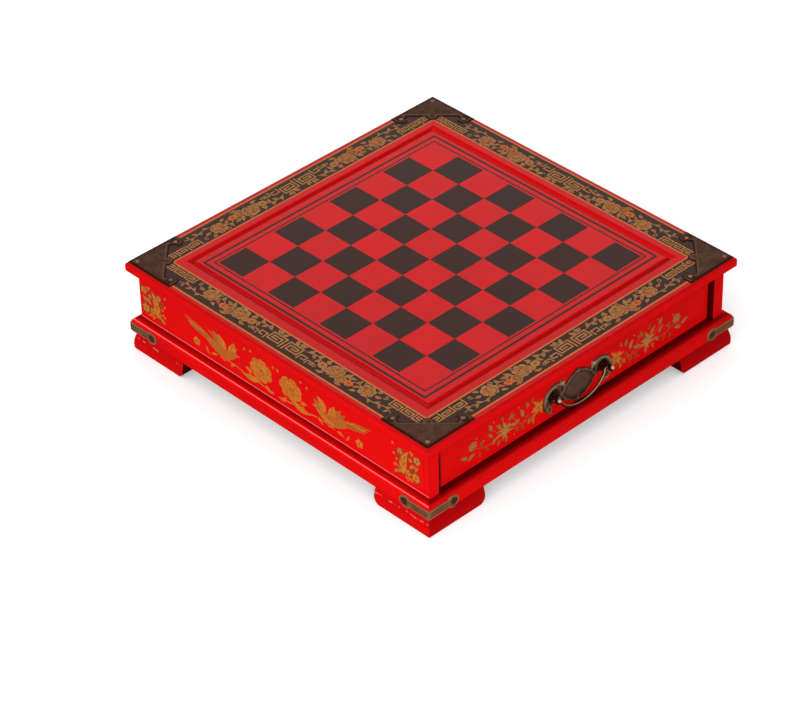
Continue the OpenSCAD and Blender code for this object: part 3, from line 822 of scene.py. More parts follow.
    def peony(self, centre, wide, high, turn, tone, line, heart, width):
        """Full flower: a ring of lobes round a scalloped patch, with petal edges painted over."""
        def at(reach, a):
            return around(centre, wide * reach, high * reach, a)
        for k, a in enumerate(round_angles(7, turn)):
            size = 0.36 + 0.07 * math.sin(2.3 * k + 4 * turn)
            self.cloud(at(0.98 - size, a), wide * size, high * size, 4, 0.14, a, tone - 0.12 * (k % 2))
        self.cloud(centre, wide * 0.74, high * 0.74, 7, 0.16, turn, tone, self.over / 2)
        for reach, petals in ((0.66, 6), (0.36, 4)):
            for k in range(petals):
                first = turn + math.tau * (k - 0.5) / petals + reach
                size = reach * (1 + 0.14 * math.sin(2.6 * k + 9 * reach))
                edge = []
                for t in (step / 6 for step in range(7)):
                    dent = 1 - 0.26 * (1 - math.sin(math.pi * t))
                    edge.append(at(size * dent, first + math.tau / petals * t * 0.8))
                self.stroke(edge, width, line, 0.3, self.over)
        for k in range(16):
            a = turn + math.tau * k * 0.382
            reach = 0.2 + 0.62 * ((k * 0.618) % 1.0)
            self.stroke([at(reach, a), at(reach + 0.14, a + 0.12)], width, line, 0.4, self.over * 1.5)
        self.cloud(centre, wide * 0.16, high * 0.16, 5, 0.2, turn, heart, self.over * 2)

    def star(self, centre, radius, rays, tone, heart, broad):
        """Flower of pointed curved rays round a full middle."""
        for k, angle in enumerate(round_angles(rays, 0.2)):
            size = radius * (0.78 + 0.22 * math.sin(2.3 * k + 1))
            tip = around(centre, size, size * 0.95, angle)
            self.leaf(centre, tip, radius * broad, tone, 0.06 * (-1) ** k, 0.0)
        self.cloud(centre, radius * 0.36, radius * 0.34, 7, 0.2, 0.3, tone, self.over)
        self.cloud(centre, radius * 0.16, radius * 0.15, 5, 0.2, 0.0, heart, self.over * 2)

    def lay(self, name, surfaces):
        """Makes the mesh, the same shapes on each surface."""
        points, faces, tones = [], [], []
        for surface in surfaces:
            for outline, tone, height in self.shapes:
                count, base = len(outline), len(points)
                xs, ys = zip(*outline)
                for level in (height, 0.0):
                    points += surface.at(xs, ys, [level] * count).tolist()
                tones += [tone] * (2 * count)
                faces.append(list(range(base, base + count)))
                for k in range(count):
                    n = (k + 1) % count
                    faces.append([base + k, base + count + k, base + count + n, base + n])
        mesh = bpy.data.meshes.new(name)
        mesh.from_pydata(points, [], faces)
        add_attributes(mesh, tone=tones)
        return mesh


def bird(brush, at):
    """Long-tailed bird in flight, head towards the middle of the wall."""
    over = brush.over
    brush.leaves(at, [(41.0, 38.4, 33.2, 45.6, 4.6)], -0.35, 0.12)
    brush.leaves(at, [(41.5, 38.6, 36.0, 48.6, 6.0)], 0.0, -0.1)
    for x, z, width, tone in ((59.5, 46.8, 4.6, -0.4), (55.5, 48.2, 6.2, -0.3), (50.0, 48.2, 6.0, 0.0),
            (46.4, 45.6, 4.2, 0.1)):
        brush.leaves(at, [(46.0, 37.6, x, z, width)], tone, -0.08)
    brush.swell(at, ((56, 39.5, 3.6), (67, 43.8, 3.0), (80.5, 47.2, 0.5)), -0.4)
    brush.swell(at, ((56, 39.5, 3.4), (66, 42.6, 3.0), (77.5, 44.6, 0.5)))
    brush.swell(at, ((56, 39.2, 3.2), (66, 41.2, 2.4), (76.0, 42.4, 0.4)), -0.4)
    body = ((34.4, 40.4, 1.6), (36.4, 39.8, 4.4), (39.6, 38.0, 5.2), (43.5, 36.6, 6.2), (50.0, 37.0, 7.4),
        (56.0, 38.8, 5.8), (61.0, 40.8, 3.6))
    breast = ((35.6, 39.0, 1.2), (39.4, 36.4, 2.6), (44.4, 34.6, 2.4), (50.0, 34.4, 1.2))
    brush.swell(at, body, -0.3, over / 2)
    brush.swell(at, breast, 0.1, over)
    brush.fill([at(35.0, 41.2), at(31.4, 40.4), at(35.2, 39.4)], 0.4, over)
    brush.disc(at(36.8, 40.6), 0.45, OUTLINE, over * 2)
    for x, z in ((45.0, 37.4), (48.2, 38.2), (49.4, 35.9), (51.6, 39.6), (52.6, 37.0), (55.6, 39.2)):
        feather = ((x, z + 0.9), (x + 1.1, z + 0.2), (x + 0.2, z - 0.9))
        brush.curve(at, feather, 0.3, 1.15, 0.3, 5, over * 2)
    for x, z, end_x, end_z in ((46.4, 40.4, 49.4, 46.6), (48.0, 40.2, 54.4, 46.8), (50.2, 40.4, 58.0, 45.8),
            (40.2, 40.4, 36.6, 47.0), (60.0, 41.4, 74.5, 45.6), (60.0, 40.2, 72.5, 42.9)):
        quill = ((x, z), ((x + end_x) / 2, (z + end_z) / 2 - 0.5), (end_x, end_z))
        brush.curve(at, quill, 0.3, 1.1, 0.5, 6, over * 2)
    brush.curve(at, ((49, 33.2), (47, 31.6), (44.5, 31.2)), 0.6, 0.3)


def wall_half(brush, way, middle):
    """Half of a wall's painting: peony, bird, blossom and the spray at the end."""
    def at(along, z):
        return way * along + middle, z
    bend = 0.1 * way
    brush.peony(at(12.8, 40.8), 10.2, 8.6, 0.4 * way, 0.0, SHADE, SHADE, 0.5)
    brush.leaves(at, [(13, 33.5, 30.5, 31.0, 4.2)], 0.0, -bend, 0.3)
    brush.leaves(at, [(18, 31.5, 25, 28.6, 2.6), (9, 32.5, 3.5, 28.4, 2.4), (21, 34.5, 27, 36.5, 2.6)],
        0.0, bend, 0.3)
    brush.leaves(at, [(2.8, 47.5, 1.0, 50.0, 1.4)], 0.0, 0.0, 0.3)
    brush.curve(at, ((2, 29.6), (12, 30), (24, 33.0)), 0.8, 0.2)
    brush.curve(at, ((28, 31), (36, 34.0), (50, 31.4)), 0.7, 0.3, 0.5)
    brush.leaves(at, [(36, 32.6, 40, 29.4, 2.0), (41, 33.0, 46.5, 34.6, 1.8), (52, 31.5, 58, 29.6, 1.6),
        (62, 33.5, 59, 28.6, 1.4), (99.5, 29.2, 105, 32.2, 2.0)], 0.2, bend, 0.2)
    bird(brush, at)
    brush.blossom(at(70.6, 32.6), 3.3, 5, 0.5)
    brush.discs(at, [(21.6, 50.6), (27.0, 49.4)], 0.9, 0.6)
    spray = ((105.4, 31.5, 3.4), (106.2, 35.5, 5.6), (107.0, 40.5, 5.4), (108.6, 45.0, 3.2),
        (110.6, 48.6, 0.6))
    brush.swell(at, spray, OUTLINE, brush.under, 1.2)
    brush.swell(at, spray)
    brush.leaves(at, [(108.4, 36.5, 115.2, 31.2, 3.0), (104.6, 40.6, 99.8, 46.2, 2.6),
        (108.8, 41.0, 114.2, 46.0, 3.0), (111.6, 36.6, 119.4, 38.4, 2.6), (106.4, 31.4, 101.4, 28.0, 2.2),
        (110.4, 46.2, 108.4, 50.6, 2.0), (113.6, 41.0, 119.0, 44.2, 2.2), (105.6, 34.6, 99.6, 31.4, 2.2)],
        OUTLINE, bend, 0.5, brush.under)
    brush.leaves(at, [(105.6, 33, 103.6, 38.5, 1.0), (106.4, 36, 109.2, 41, 1.0),
        (106.6, 38.5, 104.6, 43.5, 1.0), (107.6, 41.5, 109.6, 45.6, 1.0)], SHADE, bend, 0.0, brush.over)
    for along, z, radius, petals, tone in ((104.4, 46.2, 2.3, 5, 0.3), (110.6, 34.0, 2.6, 5, 0.0),
            (117.0, 33.6, 3.6, 6, 0.0), (118.0, 46.4, 3.0, 5, 0.3), (112.6, 44.0, 1.6, 5, 0.3)):
        wide = radius * 1.16
        brush.cloud(at(along, z), wide, wide, petals, 0.24, along, OUTLINE, brush.under)
        brush.blossom(at(along, z), radius, petals, along, tone)
    brush.leaves(at, [(110.5, 30.5, 115, 29, 1.8), (112, 38, 117, 41.5, 2.2), (108.5, 31, 111, 27.6, 1.6),
        (116.5, 38, 119.5, 42, 1.6), (113.5, 47.5, 115.4, 50.4, 1.4), (103, 34.5, 100, 36.5, 1.2)],
        0.15, bend, 0.2)
    brush.discs(at, [(99.6, 34.4), (99.2, 42.2), (98.4, 49.2), (101.4, 39.2), (112.8, 49.8)], 0.8, 0.5)


# ---- what the sidebar shows ----


def colour_setting(name, red, green, blue):
    return bpy.props.FloatVectorProperty(name=name, description=f"{name} of the finish, as light values",
        subtype="COLOR", size=4, min=0, max=1, default=plain(red, green, blue))


def length_setting(name, words, millimetres):
    return bpy.props.FloatProperty(name=name, description=words, unit="LENGTH",
        default=millimetres * MM, min=0)


class ChessBoxColours(bpy.types.PropertyGroup):
    red: colour_setting("Lacquer red", 240, 10, 12)
    deep_red: colour_setting("Deep red", 220, 8, 12)
    light_red: colour_setting("Light red", 242, 30, 28)
    # painted shade: the darker red of the frame's rounding
    rounding_painted_shade: colour_setting("Red of the frame's rounding", 172, 12, 14)
    # painted shade: the darker red laid over the feet
    feet_painted_shade: colour_setting("Red of the feet", 172, 5, 8)
    board_red: colour_setting("Board red", 188, 23, 25)
    # painted shade and sheen in the groove round the board: a deeper red for its shade, a saturated red
    # where the sheen is missing, and a lighter red for a painted sheen
    groove: colour_setting("Red of the groove", 172, 6, 8)
    groove_painted_light: colour_setting("Lit red of the groove", 200, 8, 10)
    groove_painted_sheen: colour_setting("Light red of the groove", 212, 42, 42)
    # painted shade: the dark red laid where shade falls in the openings, on the ledge and on the ends of the
    # feet
    painted_shade: colour_setting("Shaded lacquer", 66, 3, 5)
    # painted highlight: the pale pink of the lines of light along the lower edges of the walls and the ledge
    # and over the feet
    painted_highlight: colour_setting("Polished arris", 255, 128, 124)
    dark: colour_setting("Band black", 52, 30, 25)
    warm_dark: colour_setting("Warm black", 58, 31, 20)
    gold_line: colour_setting("Gilt line", 190, 104, 48)
    gold: colour_setting("Ochre gold", 210, 122, 30)
    gold_pale: colour_setting("Pale gold", 182, 128, 66)
    gold_red: colour_setting("Red gold", 184, 62, 34)
    gold_shade: colour_setting("Gold shade", 172, 84, 16)
    outline: colour_setting("Painted outline", 116, 42, 8)
    band_gold: colour_setting("Gold of the band", 172, 112, 54)
    band_pale: colour_setting("Pale gold of the band", 150, 110, 72)
    band_red: colour_setting("Red gold of the band", 190, 92, 42)
    band_shade: colour_setting("Gold shade of the band", 136, 80, 36)
    band_line: colour_setting("Outline of the band", 92, 46, 24)
    bronze_dark: colour_setting("Bronze brown", 67, 42, 32)
    bronze_light: colour_setting("Bronze grey", 93, 66, 52)
    # rubbed metal on raised edges, and the colour of the painted highlights on the bronze
    bronze_rub_and_highlight: colour_setting("Rubbed bronze", 172, 142, 112)
    # dark patina in the hollows, and the colour of the painted shade on the bronze
    tarnish_and_shade_brown: colour_setting("Tarnish in the hollows", 46, 14, 6)
    # painted highlight: the bright colour on the top front of the posts' balls
    ball: colour_setting("Rubbed ball of the posts", 206, 180, 152)
    strap_dark: colour_setting("Strap brown", 98, 60, 36)
    strap_light: colour_setting("Strap olive", 132, 92, 58)
    wood: colour_setting("Wood", 196, 160, 112)
    wood_dark: colour_setting("Wood grain", 160, 118, 74)
    wood_light: colour_setting("Light wood", 214, 182, 138)
    felt: colour_setting("Felt", 46, 34, 32)
    felt_light: colour_setting("Felt nap", 78, 60, 56)
    floor: colour_setting("Floor", 240, 240, 240)
    floor_bounce: colour_setting("Light thrown back by the floor", 120, 120, 120)


class ChessBoxSizes(bpy.types.PropertyGroup):
    square: length_setting("Square, width", "Width of a square of the board along the drawers", 22.95)
    square_deep: length_setting("Square, depth", "Depth of a square of the board along the walls", 22.4)
    aside: length_setting("Field, aside", "How far the field lies off the middle along the drawers", 0.2)
    back: length_setting("Field, back", "How far the field lies off the middle along the walls", 0.55)
    band_inner: length_setting("Band, inner edge", "From the middle to the dark band's inner edge", 108.8)
    band_outer: length_setting("Band, outer edge", "From the middle to the dark band's outer edge", 125.2)
    paint: length_setting("Gilding", "Thickness of the gilding", 0.05)
    sheet: length_setting("Sheet", "Thickness of the stamped sheet", 0.6)
    wire: length_setting("Bail wire", "Radius of the bail's wire", 0.85)
    bail_drop: length_setting("Bail drop", "Drop of the bail below its pivots", 13.2)
    bail_half: length_setting("Bail half width", "Half width of the bail", 18.9)


def settings():
    scene = bpy.context.scene
    return scene.chess_box_colours, scene.chess_box_sizes


def finish_named(name):
    return bpy.data.materials[name]


class CHESSBOX_OT_stage(bpy.types.Operator):
    """Sets the floor, the lamps, the surroundings and the camera"""

    bl_idname = "chess_box.stage"
    bl_label = "Stage"
    bl_options = {"REGISTER", "UNDO"}

    # place and size in metres, power in watts
    lamps = (
        ("sky_panel", (-0.05, 0.05, 1.5), (2.2, 2.2), 10),
        ("left_panel", (-1.6, -0.5, 0.7), (1.2, 1.2), 11.5),
        ("front_panel", (0.5, -1.7, 0.7), (1.2, 1.2), 3.2),
        ("near_panel", (-0.48, -0.6, 0.26), (0.25, 0.25), 1.5),
        ("edge_strip", (-1.05, 1.0, 0.96), (0.6, 0.2), 2.4))
    lamps_aim = Vector((0, 0, 0.03))
    floor_half = 4
    sky = (0.96, 0.98, 1.0, 1)
    white = (1.0, 1.0, 1.0, 1)

    # where the camera looks from, in degrees and millimetres, and its lens
    azimuth, elevation, roll = -43.189, 36.880, -1.481
    aside, lift, away = -19.506, -2.928, 1956.379
    sensor = 36
    lens = 3195.508 * sensor / 800

    def execute(self, context):
        scene = context.scene
        self.make_floor()
        self.make_surroundings(scene)
        for lamp in self.lamps:
            self.make_lamp(scene, *lamp)
        self.make_camera(scene)
        scene.view_settings.view_transform = "Standard"
        return {"FINISHED"}

    def make_floor(self):
        """White to the eye, grey to the light that it throws back."""
        colours, _sizes = settings()
        corners = [Vector((x, y, 0)) * self.floor_half for x, y in ((-1, -1), (1, -1), (1, 1), (-1, 1))]
        mesh = bpy.data.meshes.new("floor")
        mesh.from_pydata(corners, [], [(0, 1, 2, 3)])
        floor = bpy.data.objects.new("floor", mesh)
        bpy.context.scene.collection.objects.link(floor)
        finish = Finish("floor")
        seen = finish.seen()
        grain = finish.noise(finish.place(), 0.02, 2.0)
        paper = finish.mix(grain * 0.06, colours.floor, (0.95, 0.95, 0.95, 1))
        mesh.materials.append(finish.close(
            Base_Color=finish.mix(seen, colours.floor_bounce, paper),
            Roughness=0.9,
            Specular_IOR_Level=0.0,
            Emission_Color=finish.mix(seen, (0.0, 0.0, 0.0, 1), self.white),
            Emission_Strength=0.3))

    def make_surroundings(self, scene):
        """A soft sky that lights the box. What is seen of it is white."""
        world = bpy.data.worlds.new("surroundings")
        world.use_nodes = True
        nodes = Nodes(world.node_tree)
        sky = nodes.node("ShaderNodeBackground", None, {"Color": self.sky, "Strength": 0.55})
        white = nodes.node("ShaderNodeBackground", None, {"Color": self.white, "Strength": 1.0})
        nodes.end("World", nodes.node("ShaderNodeMixShader", None, {0: nodes.seen(), 1: sky, 2: white}))
        scene.world = world

    def make_lamp(self, scene, name, place, size, watts):
        lamp = bpy.data.lights.new(name, "AREA")
        lamp.shape = "RECTANGLE"
        lamp.size, lamp.size_y = size
        lamp.energy = watts
        holder = bpy.data.objects.new(name, lamp)
        scene.collection.objects.link(holder)
        holder.location = place
        aim = self.lamps_aim - Vector(place)
        holder.rotation_euler = aim.to_track_quat("-Z", "Y").to_euler()

    def make_camera(self, scene):
        """Seen from the front left and above, through a long lens."""
        azimuth, elevation, roll = (math.radians(a) for a in (self.azimuth, self.elevation, self.roll))
        back = Vector((math.sin(azimuth) * math.cos(elevation), -math.cos(azimuth) * math.cos(elevation),
            math.sin(elevation)))
        right = Vector((0, 0, 1)).cross(back).normalized()
        up = back.cross(right)
        tilted = right * math.cos(roll) + up * math.sin(roll)
        up = up * math.cos(roll) - right * math.sin(roll)
        lens = bpy.data.cameras.new("camera")
        lens.sensor_fit = "HORIZONTAL"
        lens.sensor_width = self.sensor
        lens.lens = self.lens
        lens.clip_end = 20
        camera = bpy.data.objects.new("camera", lens)
        scene.collection.objects.link(camera)
        place = (tilted * self.aside + up * self.lift + back * self.away) * MM
        turn = Matrix((tilted, up, back)).transposed().to_4x4()
        camera.matrix_world = Matrix.Translation(place) @ turn
        scene.camera = camera


class CHESSBOX_OT_woodwork(bpy.types.Operator):
    """Lacquers the woodwork and finishes the drawers' insides"""

    bl_idname = "chess_box.woodwork"
    bl_label = "Woodwork"
    bl_options = {"REGISTER", "UNDO"}

    def execute(self, context):
        colours, sizes = settings()
        tarnish_and_shade_brown, rub = colours.tarnish_and_shade_brown, colours.bronze_rub_and_highlight
        brown, grey = colours.bronze_dark, colours.bronze_light
        red = make_red_lacquer(colours)
        along_x, along_y = (make_wood(f"wood_along_{axis}", colours, axis) for axis in "xy")
        bronze = make_bronze("aged_bronze", tarnish_and_shade_brown, brown, grey, rub)
        straps = make_bronze("strap_bronze", tarnish_and_shade_brown, colours.strap_dark, colours.strap_light, rub)
        nails = make_bronze("nail_bronze", tarnish_and_shade_brown, grey, rub, rub)
        dull_nails = make_bronze("dull_nail_bronze", tarnish_and_shade_brown, colours.dark, brown, grey)
        posts = make_bronze("post_bronze", tarnish_and_shade_brown, brown, grey, colours.ball, ball=True)
        # the first pattern that fits a node's name gives its finish
        finishes = {
            "top_rail*": make_frame_lacquer(colours, sizes),
            "board_panel": make_board_lacquer(colours, sizes),
            "*felt": make_felt(colours),
            "side_*": red, "stile*": red, "plinth*": red, "foot*": red, "*drawer_face": red,
            "*posts": posts,
            "strap_nails": dull_nails,
            "*nails": nails, "*pins": nails,
            "strap*": straps,
            "bracket*": bronze, "*handle*": bronze, "*bail": bronze,
            "*drawer_left": along_y, "*drawer_right": along_y,
            "*": along_x}
        for name, node in frame["nodes"].items():
            material = next(made for words, made in finishes.items() if fnmatch(name, words))
            for slot in node.material_slots:
                slot.material = material
            if not node.material_slots:
                node.data.materials.append(material)
        return {"FINISHED"}


class CHESSBOX_OT_band(bpy.types.Operator):
    """Gilds the dark band of the top frame with frets, vines and flowers"""

    bl_idname = "chess_box.band"
    bl_label = "Gilt band"
    bl_options = {"REGISTER", "UNDO"}

    def execute(self, context):
        colours, sizes = settings()
        tints = (colours.band_shade, colours.band_gold, colours.band_pale, colours.band_red,
            colours.band_line)
        material = make_gilding("band_gilding", tints, colours.dark, 0.2, 0.35)
        inner, outer = sizes.band_inner / MM, sizes.band_outer / MM
        brush = Brush(sizes.paint / MM)
        for way in (1, -1):
            self.half(brush, way, outer - inner)
        sides = [Surface((0, -outer, RAIL_TOP), (1, 0, 0), (0, 1, 0), turn) for turn in range(4)]
        finish_piece(brush.lay("band_gilding", sides), "band_gilding", material, "box", 30)
        return {"FINISHED"}

    def half(self, brush, way, width):
        """One half of a side, from the middle to the corner. Its second measure runs inwards from
        the outer line."""
        def at(along, across):
            return way * along, across
        for start, wide, high, gap in (((1.3, 2.1), 11.2, 8.6, 2.15), ((14.4, 2.1), 5.0, 4.8, 1.9),
                ((21.2, 2.1), 4.2, 3.6, 1.8)):
            self.key(brush, at, start, wide, high, gap, 1)
        for start, wide in ((84.2, 7.6), (93.6, 7.4), (102.6, 6.6)):
            self.key(brush, at, (start, width - 1.2), wide, 5.6, 1.9, -1)
        vine = ((14.5, 10.5), (22, 12.4), (30, 9.4), (38, 5.6), (48, 5.2), (58, 10.8), (68, 5.6), (76, 4.4),
            (84, 6.4), (91, 4.6))
        brush.stroke(smooth([at(*knot) for knot in vine], 7), 0.6, 0.4)
        for along, across, wide, high, tone, heart in ((40.6, 9.2, 6.6, 5.9, 0.35, RED_GOLD),
                (66.6, 9.4, 6.3, 5.6, 0.3, RED_GOLD), (47.8, 6.4, 4.0, 3.8, 0.2, 0.6)):
            brush.peony(at(along, across), wide, high, 0.3 * way + along, tone, 1.4, heart, 0.5)
        for along, across, wide, high, tone in ((30.4, 8.4, 3.3, 2.9, 0.25), (53.6, 7.0, 3.4, 2.8, RED_GOLD),
                (34.6, 6.6, 2.3, 2.0, 0.2)):
            brush.cloud(at(along, across), wide, high, 7, 0.16, along, tone)
            brush.cloud(at(along, across), wide * 0.35, high * 0.35, 5, 0.2, along, 1.3, brush.over)
        leaves = ((7.0, 11.6, 3.6, 14.9, 2.6), (8.4, 11.6, 8.6, 15.6, 2.6), (9.6, 11.6, 12.6, 14.4, 2.3),
            (16.0, 10.8, 18.6, 14.8, 2.5), (19.6, 11.6, 22.8, 8.8, 2.4), (23.0, 12.2, 26.6, 15.0, 2.4),
            (26.0, 11.2, 24.6, 7.2, 2.2), (30.0, 12.0, 33.0, 15.2, 2.4), (34.0, 11.6, 30.6, 13.6, 2.0),
            (47.4, 10.2, 50.6, 14.8, 2.8), (50.2, 9.8, 55.4, 12.4, 2.4), (46.0, 3.4, 52.6, 2.4, 2.2),
            (36.0, 3.9, 30.6, 2.6, 2.2), (57.2, 10.2, 58.6, 14.6, 2.3), (60.2, 9.6, 57.2, 6.0, 2.1),
            (62.0, 4.6, 57.8, 2.6, 2.1), (72.0, 12.4, 75.4, 15.0, 2.3), (73.2, 9.4, 78.0, 10.6, 2.2),
            (72.4, 4.9, 74.6, 1.9, 2.0), (77.0, 4.6, 79.6, 7.8, 2.1), (80.0, 5.2, 83.4, 2.6, 2.0),
            (84.6, 6.2, 87.8, 8.6, 2.0), (87.6, 5.4, 86.2, 2.4, 1.8))
        for k, leaf in enumerate(leaves):
            brush.leaves(at, [leaf], (0.15, 0.5, 0.75)[k % 3], 0.1 * way * (-1) ** k, 0.3)
        for along, across, radius, start in ((62.0, 13.4, 1.7, 0.0), (27.4, 4.6, 1.6, 2.0),
                (79.2, 12.6, 1.7, 4.0), (44.6, 14.4, 1.3, 1.0)):
            curl = [at(*around((along, across), radius * (1 - a / 9), radius * (1 - a / 9), a + start))
                for a in (0.5 * k for k in range(15))]
            brush.stroke(curl, 0.55, 0.5)

    def key(self, brush, at, start, wide, high, gap, up):
        """One square key of the fret: a line that winds inwards."""
        turns = []
        left, right, low, top = 0.0, wide, 0.0, high
        while right - left > gap * 0.6 and top - low > gap * 0.6:
            turns += [(left, low), (left, top), (right, top), (right, low + gap)]
            left, right, low, top = left + gap, right - gap, low + gap, top - gap
        turns.append((left, low))
        brush.stroke([at(start[0] + a, start[1] + up * b) for a, b in turns], gap * 0.5, 0.2)


def make_wall_gilding(name, colours):
    tints = (colours.gold_shade, colours.gold, colours.gold_pale, colours.gold_red, colours.outline)
    return make_gilding(name, tints, colours.red, 0.15, 0.4)


class CHESSBOX_OT_wall_painting(bpy.types.Operator):
    """Paints birds and peonies on the two side walls"""

    bl_idname = "chess_box.wall_painting"
    bl_label = "Wall painting"
    bl_options = {"REGISTER", "UNDO"}

    def execute(self, context):
        colours, sizes = settings()
        material = make_wall_gilding("wall_gilding", colours)
        brush = Brush(sizes.paint / MM)
        for way in (1, -1):
            wall_half(brush, way, -2.4)
        for name, turn in (("left_wall_gilding", 0), ("right_wall_gilding", 2)):
            wall = Surface((-WALL_HALF, 0, 0), (0, -1, 0), (0, 0, 1), turn)
            finish_piece(brush.lay(name, [wall]), name, material, "box", 30)
        return {"FINISHED"}


class CHESSBOX_OT_drawer_painting(bpy.types.Operator):
    """Paints flower sprays on the two drawer faces"""

    bl_idname = "chess_box.drawer_painting"
    bl_label = "Drawer painting"
    bl_options = {"REGISTER", "UNDO"}

    def execute(self, context):
        colours, sizes = settings()
        material = make_wall_gilding("drawer_gilding", colours)
        brush = Brush(sizes.paint / MM)
        for way in (1, -1):
            self.spray(brush, way)
        for side, turn in DRAWERS:
            name = f"{side}_drawer_gilding"
            face = Surface((0, FACE_Y, 0), (1, 0, 0), (0, 0, 1), turn)
            finish_piece(brush.lay(name, [face]), name, material, f"{side}_drawer", 30)
        return {"FINISHED"}

    def spray(self, brush, way):
        """Half of a drawer's flowers, from beside the handle outwards."""
        def at(x, z):
            return way * x, z
        over, under = brush.over, brush.under
        for knots in (((33, 35), (45, 29.5), (60, 35)), ((60, 35), (74, 29), (86, 37)),
                ((46, 31.6), (51, 39), (55, 42)), ((64, 34), (68, 40), (72, 42))):
            brush.curve(at, knots, 0.5, 0.95, 0.2)
        brush.star(at(32.8, 37.0), 7.8, 10, 0.0, -0.4, 0.26)
        brush.star(at(60.2, 35.6), 7.8, 12, 0.45, 0.15, 0.22)
        brush.cloud(at(32.8, 36.2), 4.6, 4.2, 9, 0.3, 0.2, OUTLINE, under)
        brush.cloud(at(60.2, 36.2), 4.9, 4.4, 9, 0.3, 0.2, OUTLINE, under)
        flower = (86.2, 38.4)
        brush.cloud(at(*flower), 3.7, 3.5, 7, 0.18, 0.3, OUTLINE, under)
        brush.cloud(at(*flower), 3.4, 3.2, 7, 0.18, 0.3, 0.5)
        for angle in round_angles(6, 0.4):
            curl = [at(*around(flower, reach, reach, angle + turn))
                for reach, turn in ((1.2, 0.0), (2.2, 0.22), (3.1, 0.6))]
            brush.stroke(curl, 0.5, OUTLINE, 0.3, over)
        brush.cloud(at(86.4, 38.8), 1.1, 0.9, 5, 0.2, 0.0, -0.2, over)
        leaves = ((90.5, 32.0, 96.4, 34.4, 2.4, 0.4), (84.6, 32.6, 90.4, 29.8, 2.6, 0.45),
            (79.0, 34.2, 80.6, 39.0, 1.8, 0.9), (76.2, 33.2, 73.0, 28.4, 1.8, 0.9),
            (80.6, 31.0, 80.0, 27.0, 1.5, 0.8), (71.0, 41.4, 73.2, 46.4, 2.6, 0.6),
            (70.4, 36.0, 74.4, 40.4, 2.0, 0.4), (66.8, 34.2, 70.6, 30.6, 2.5, 0.2),
            (63.4, 38.6, 67.4, 43.2, 2.4, 0.3), (61.8, 43.0, 63.0, 46.8, 2.0, 0.85),
            (57.0, 40.6, 54.2, 46.0, 2.4, 0.8), (55.0, 41.8, 51.4, 43.2, 1.8, 0.8),
            (54.6, 35.6, 47.8, 37.4, 2.8, 0.5), (45.2, 37.2, 47.6, 43.6, 2.8, 0.3),
            (64.4, 31.2, 66.2, 27.4, 2.0, 0.6), (58.6, 31.0, 59.4, 26.8, 2.0, 0.5),
            (50.4, 32.4, 49.6, 28.0, 1.9, 0.9), (46.4, 31.8, 44.0, 27.6, 2.0, 0.9),
            (41.4, 41.4, 42.6, 46.2, 2.3, 0.6), (38.2, 33.2, 41.4, 29.2, 2.6, 0.2),
            (36.8, 32.0, 36.6, 27.2, 2.4, 0.1), (40.2, 36.0, 43.6, 35.0, 1.8, 0.9),
            (38.0, 43.0, 37.0, 46.6, 1.7, 0.8))
        bend = 0.07 * way
        for x, z, tip_x, tip_z, wide, tone in leaves:
            wide = wide * 0.9
            along, up = (tip_x - x) * 0.08, (tip_z - z) * 0.08
            brown = (x - along, z - up, tip_x + along, tip_z + up, wide + 0.75)
            brush.leaves(at, [brown], OUTLINE, bend, 0.0, under)
            brush.leaves(at, [(x, z, tip_x, tip_z, wide)], tone, bend, 0.45)
        berries = [(69.2, 46.4), (48.6, 45.6), (52.6, 28.6), (77.6, 37.6), (83.2, 42.4), (43.8, 33.4)]
        brush.discs(at, berries, 0.55, 0.6)


def sheet():
    """Thickness of the stamped sheet, in millimetres."""
    return settings()[1].sheet / MM


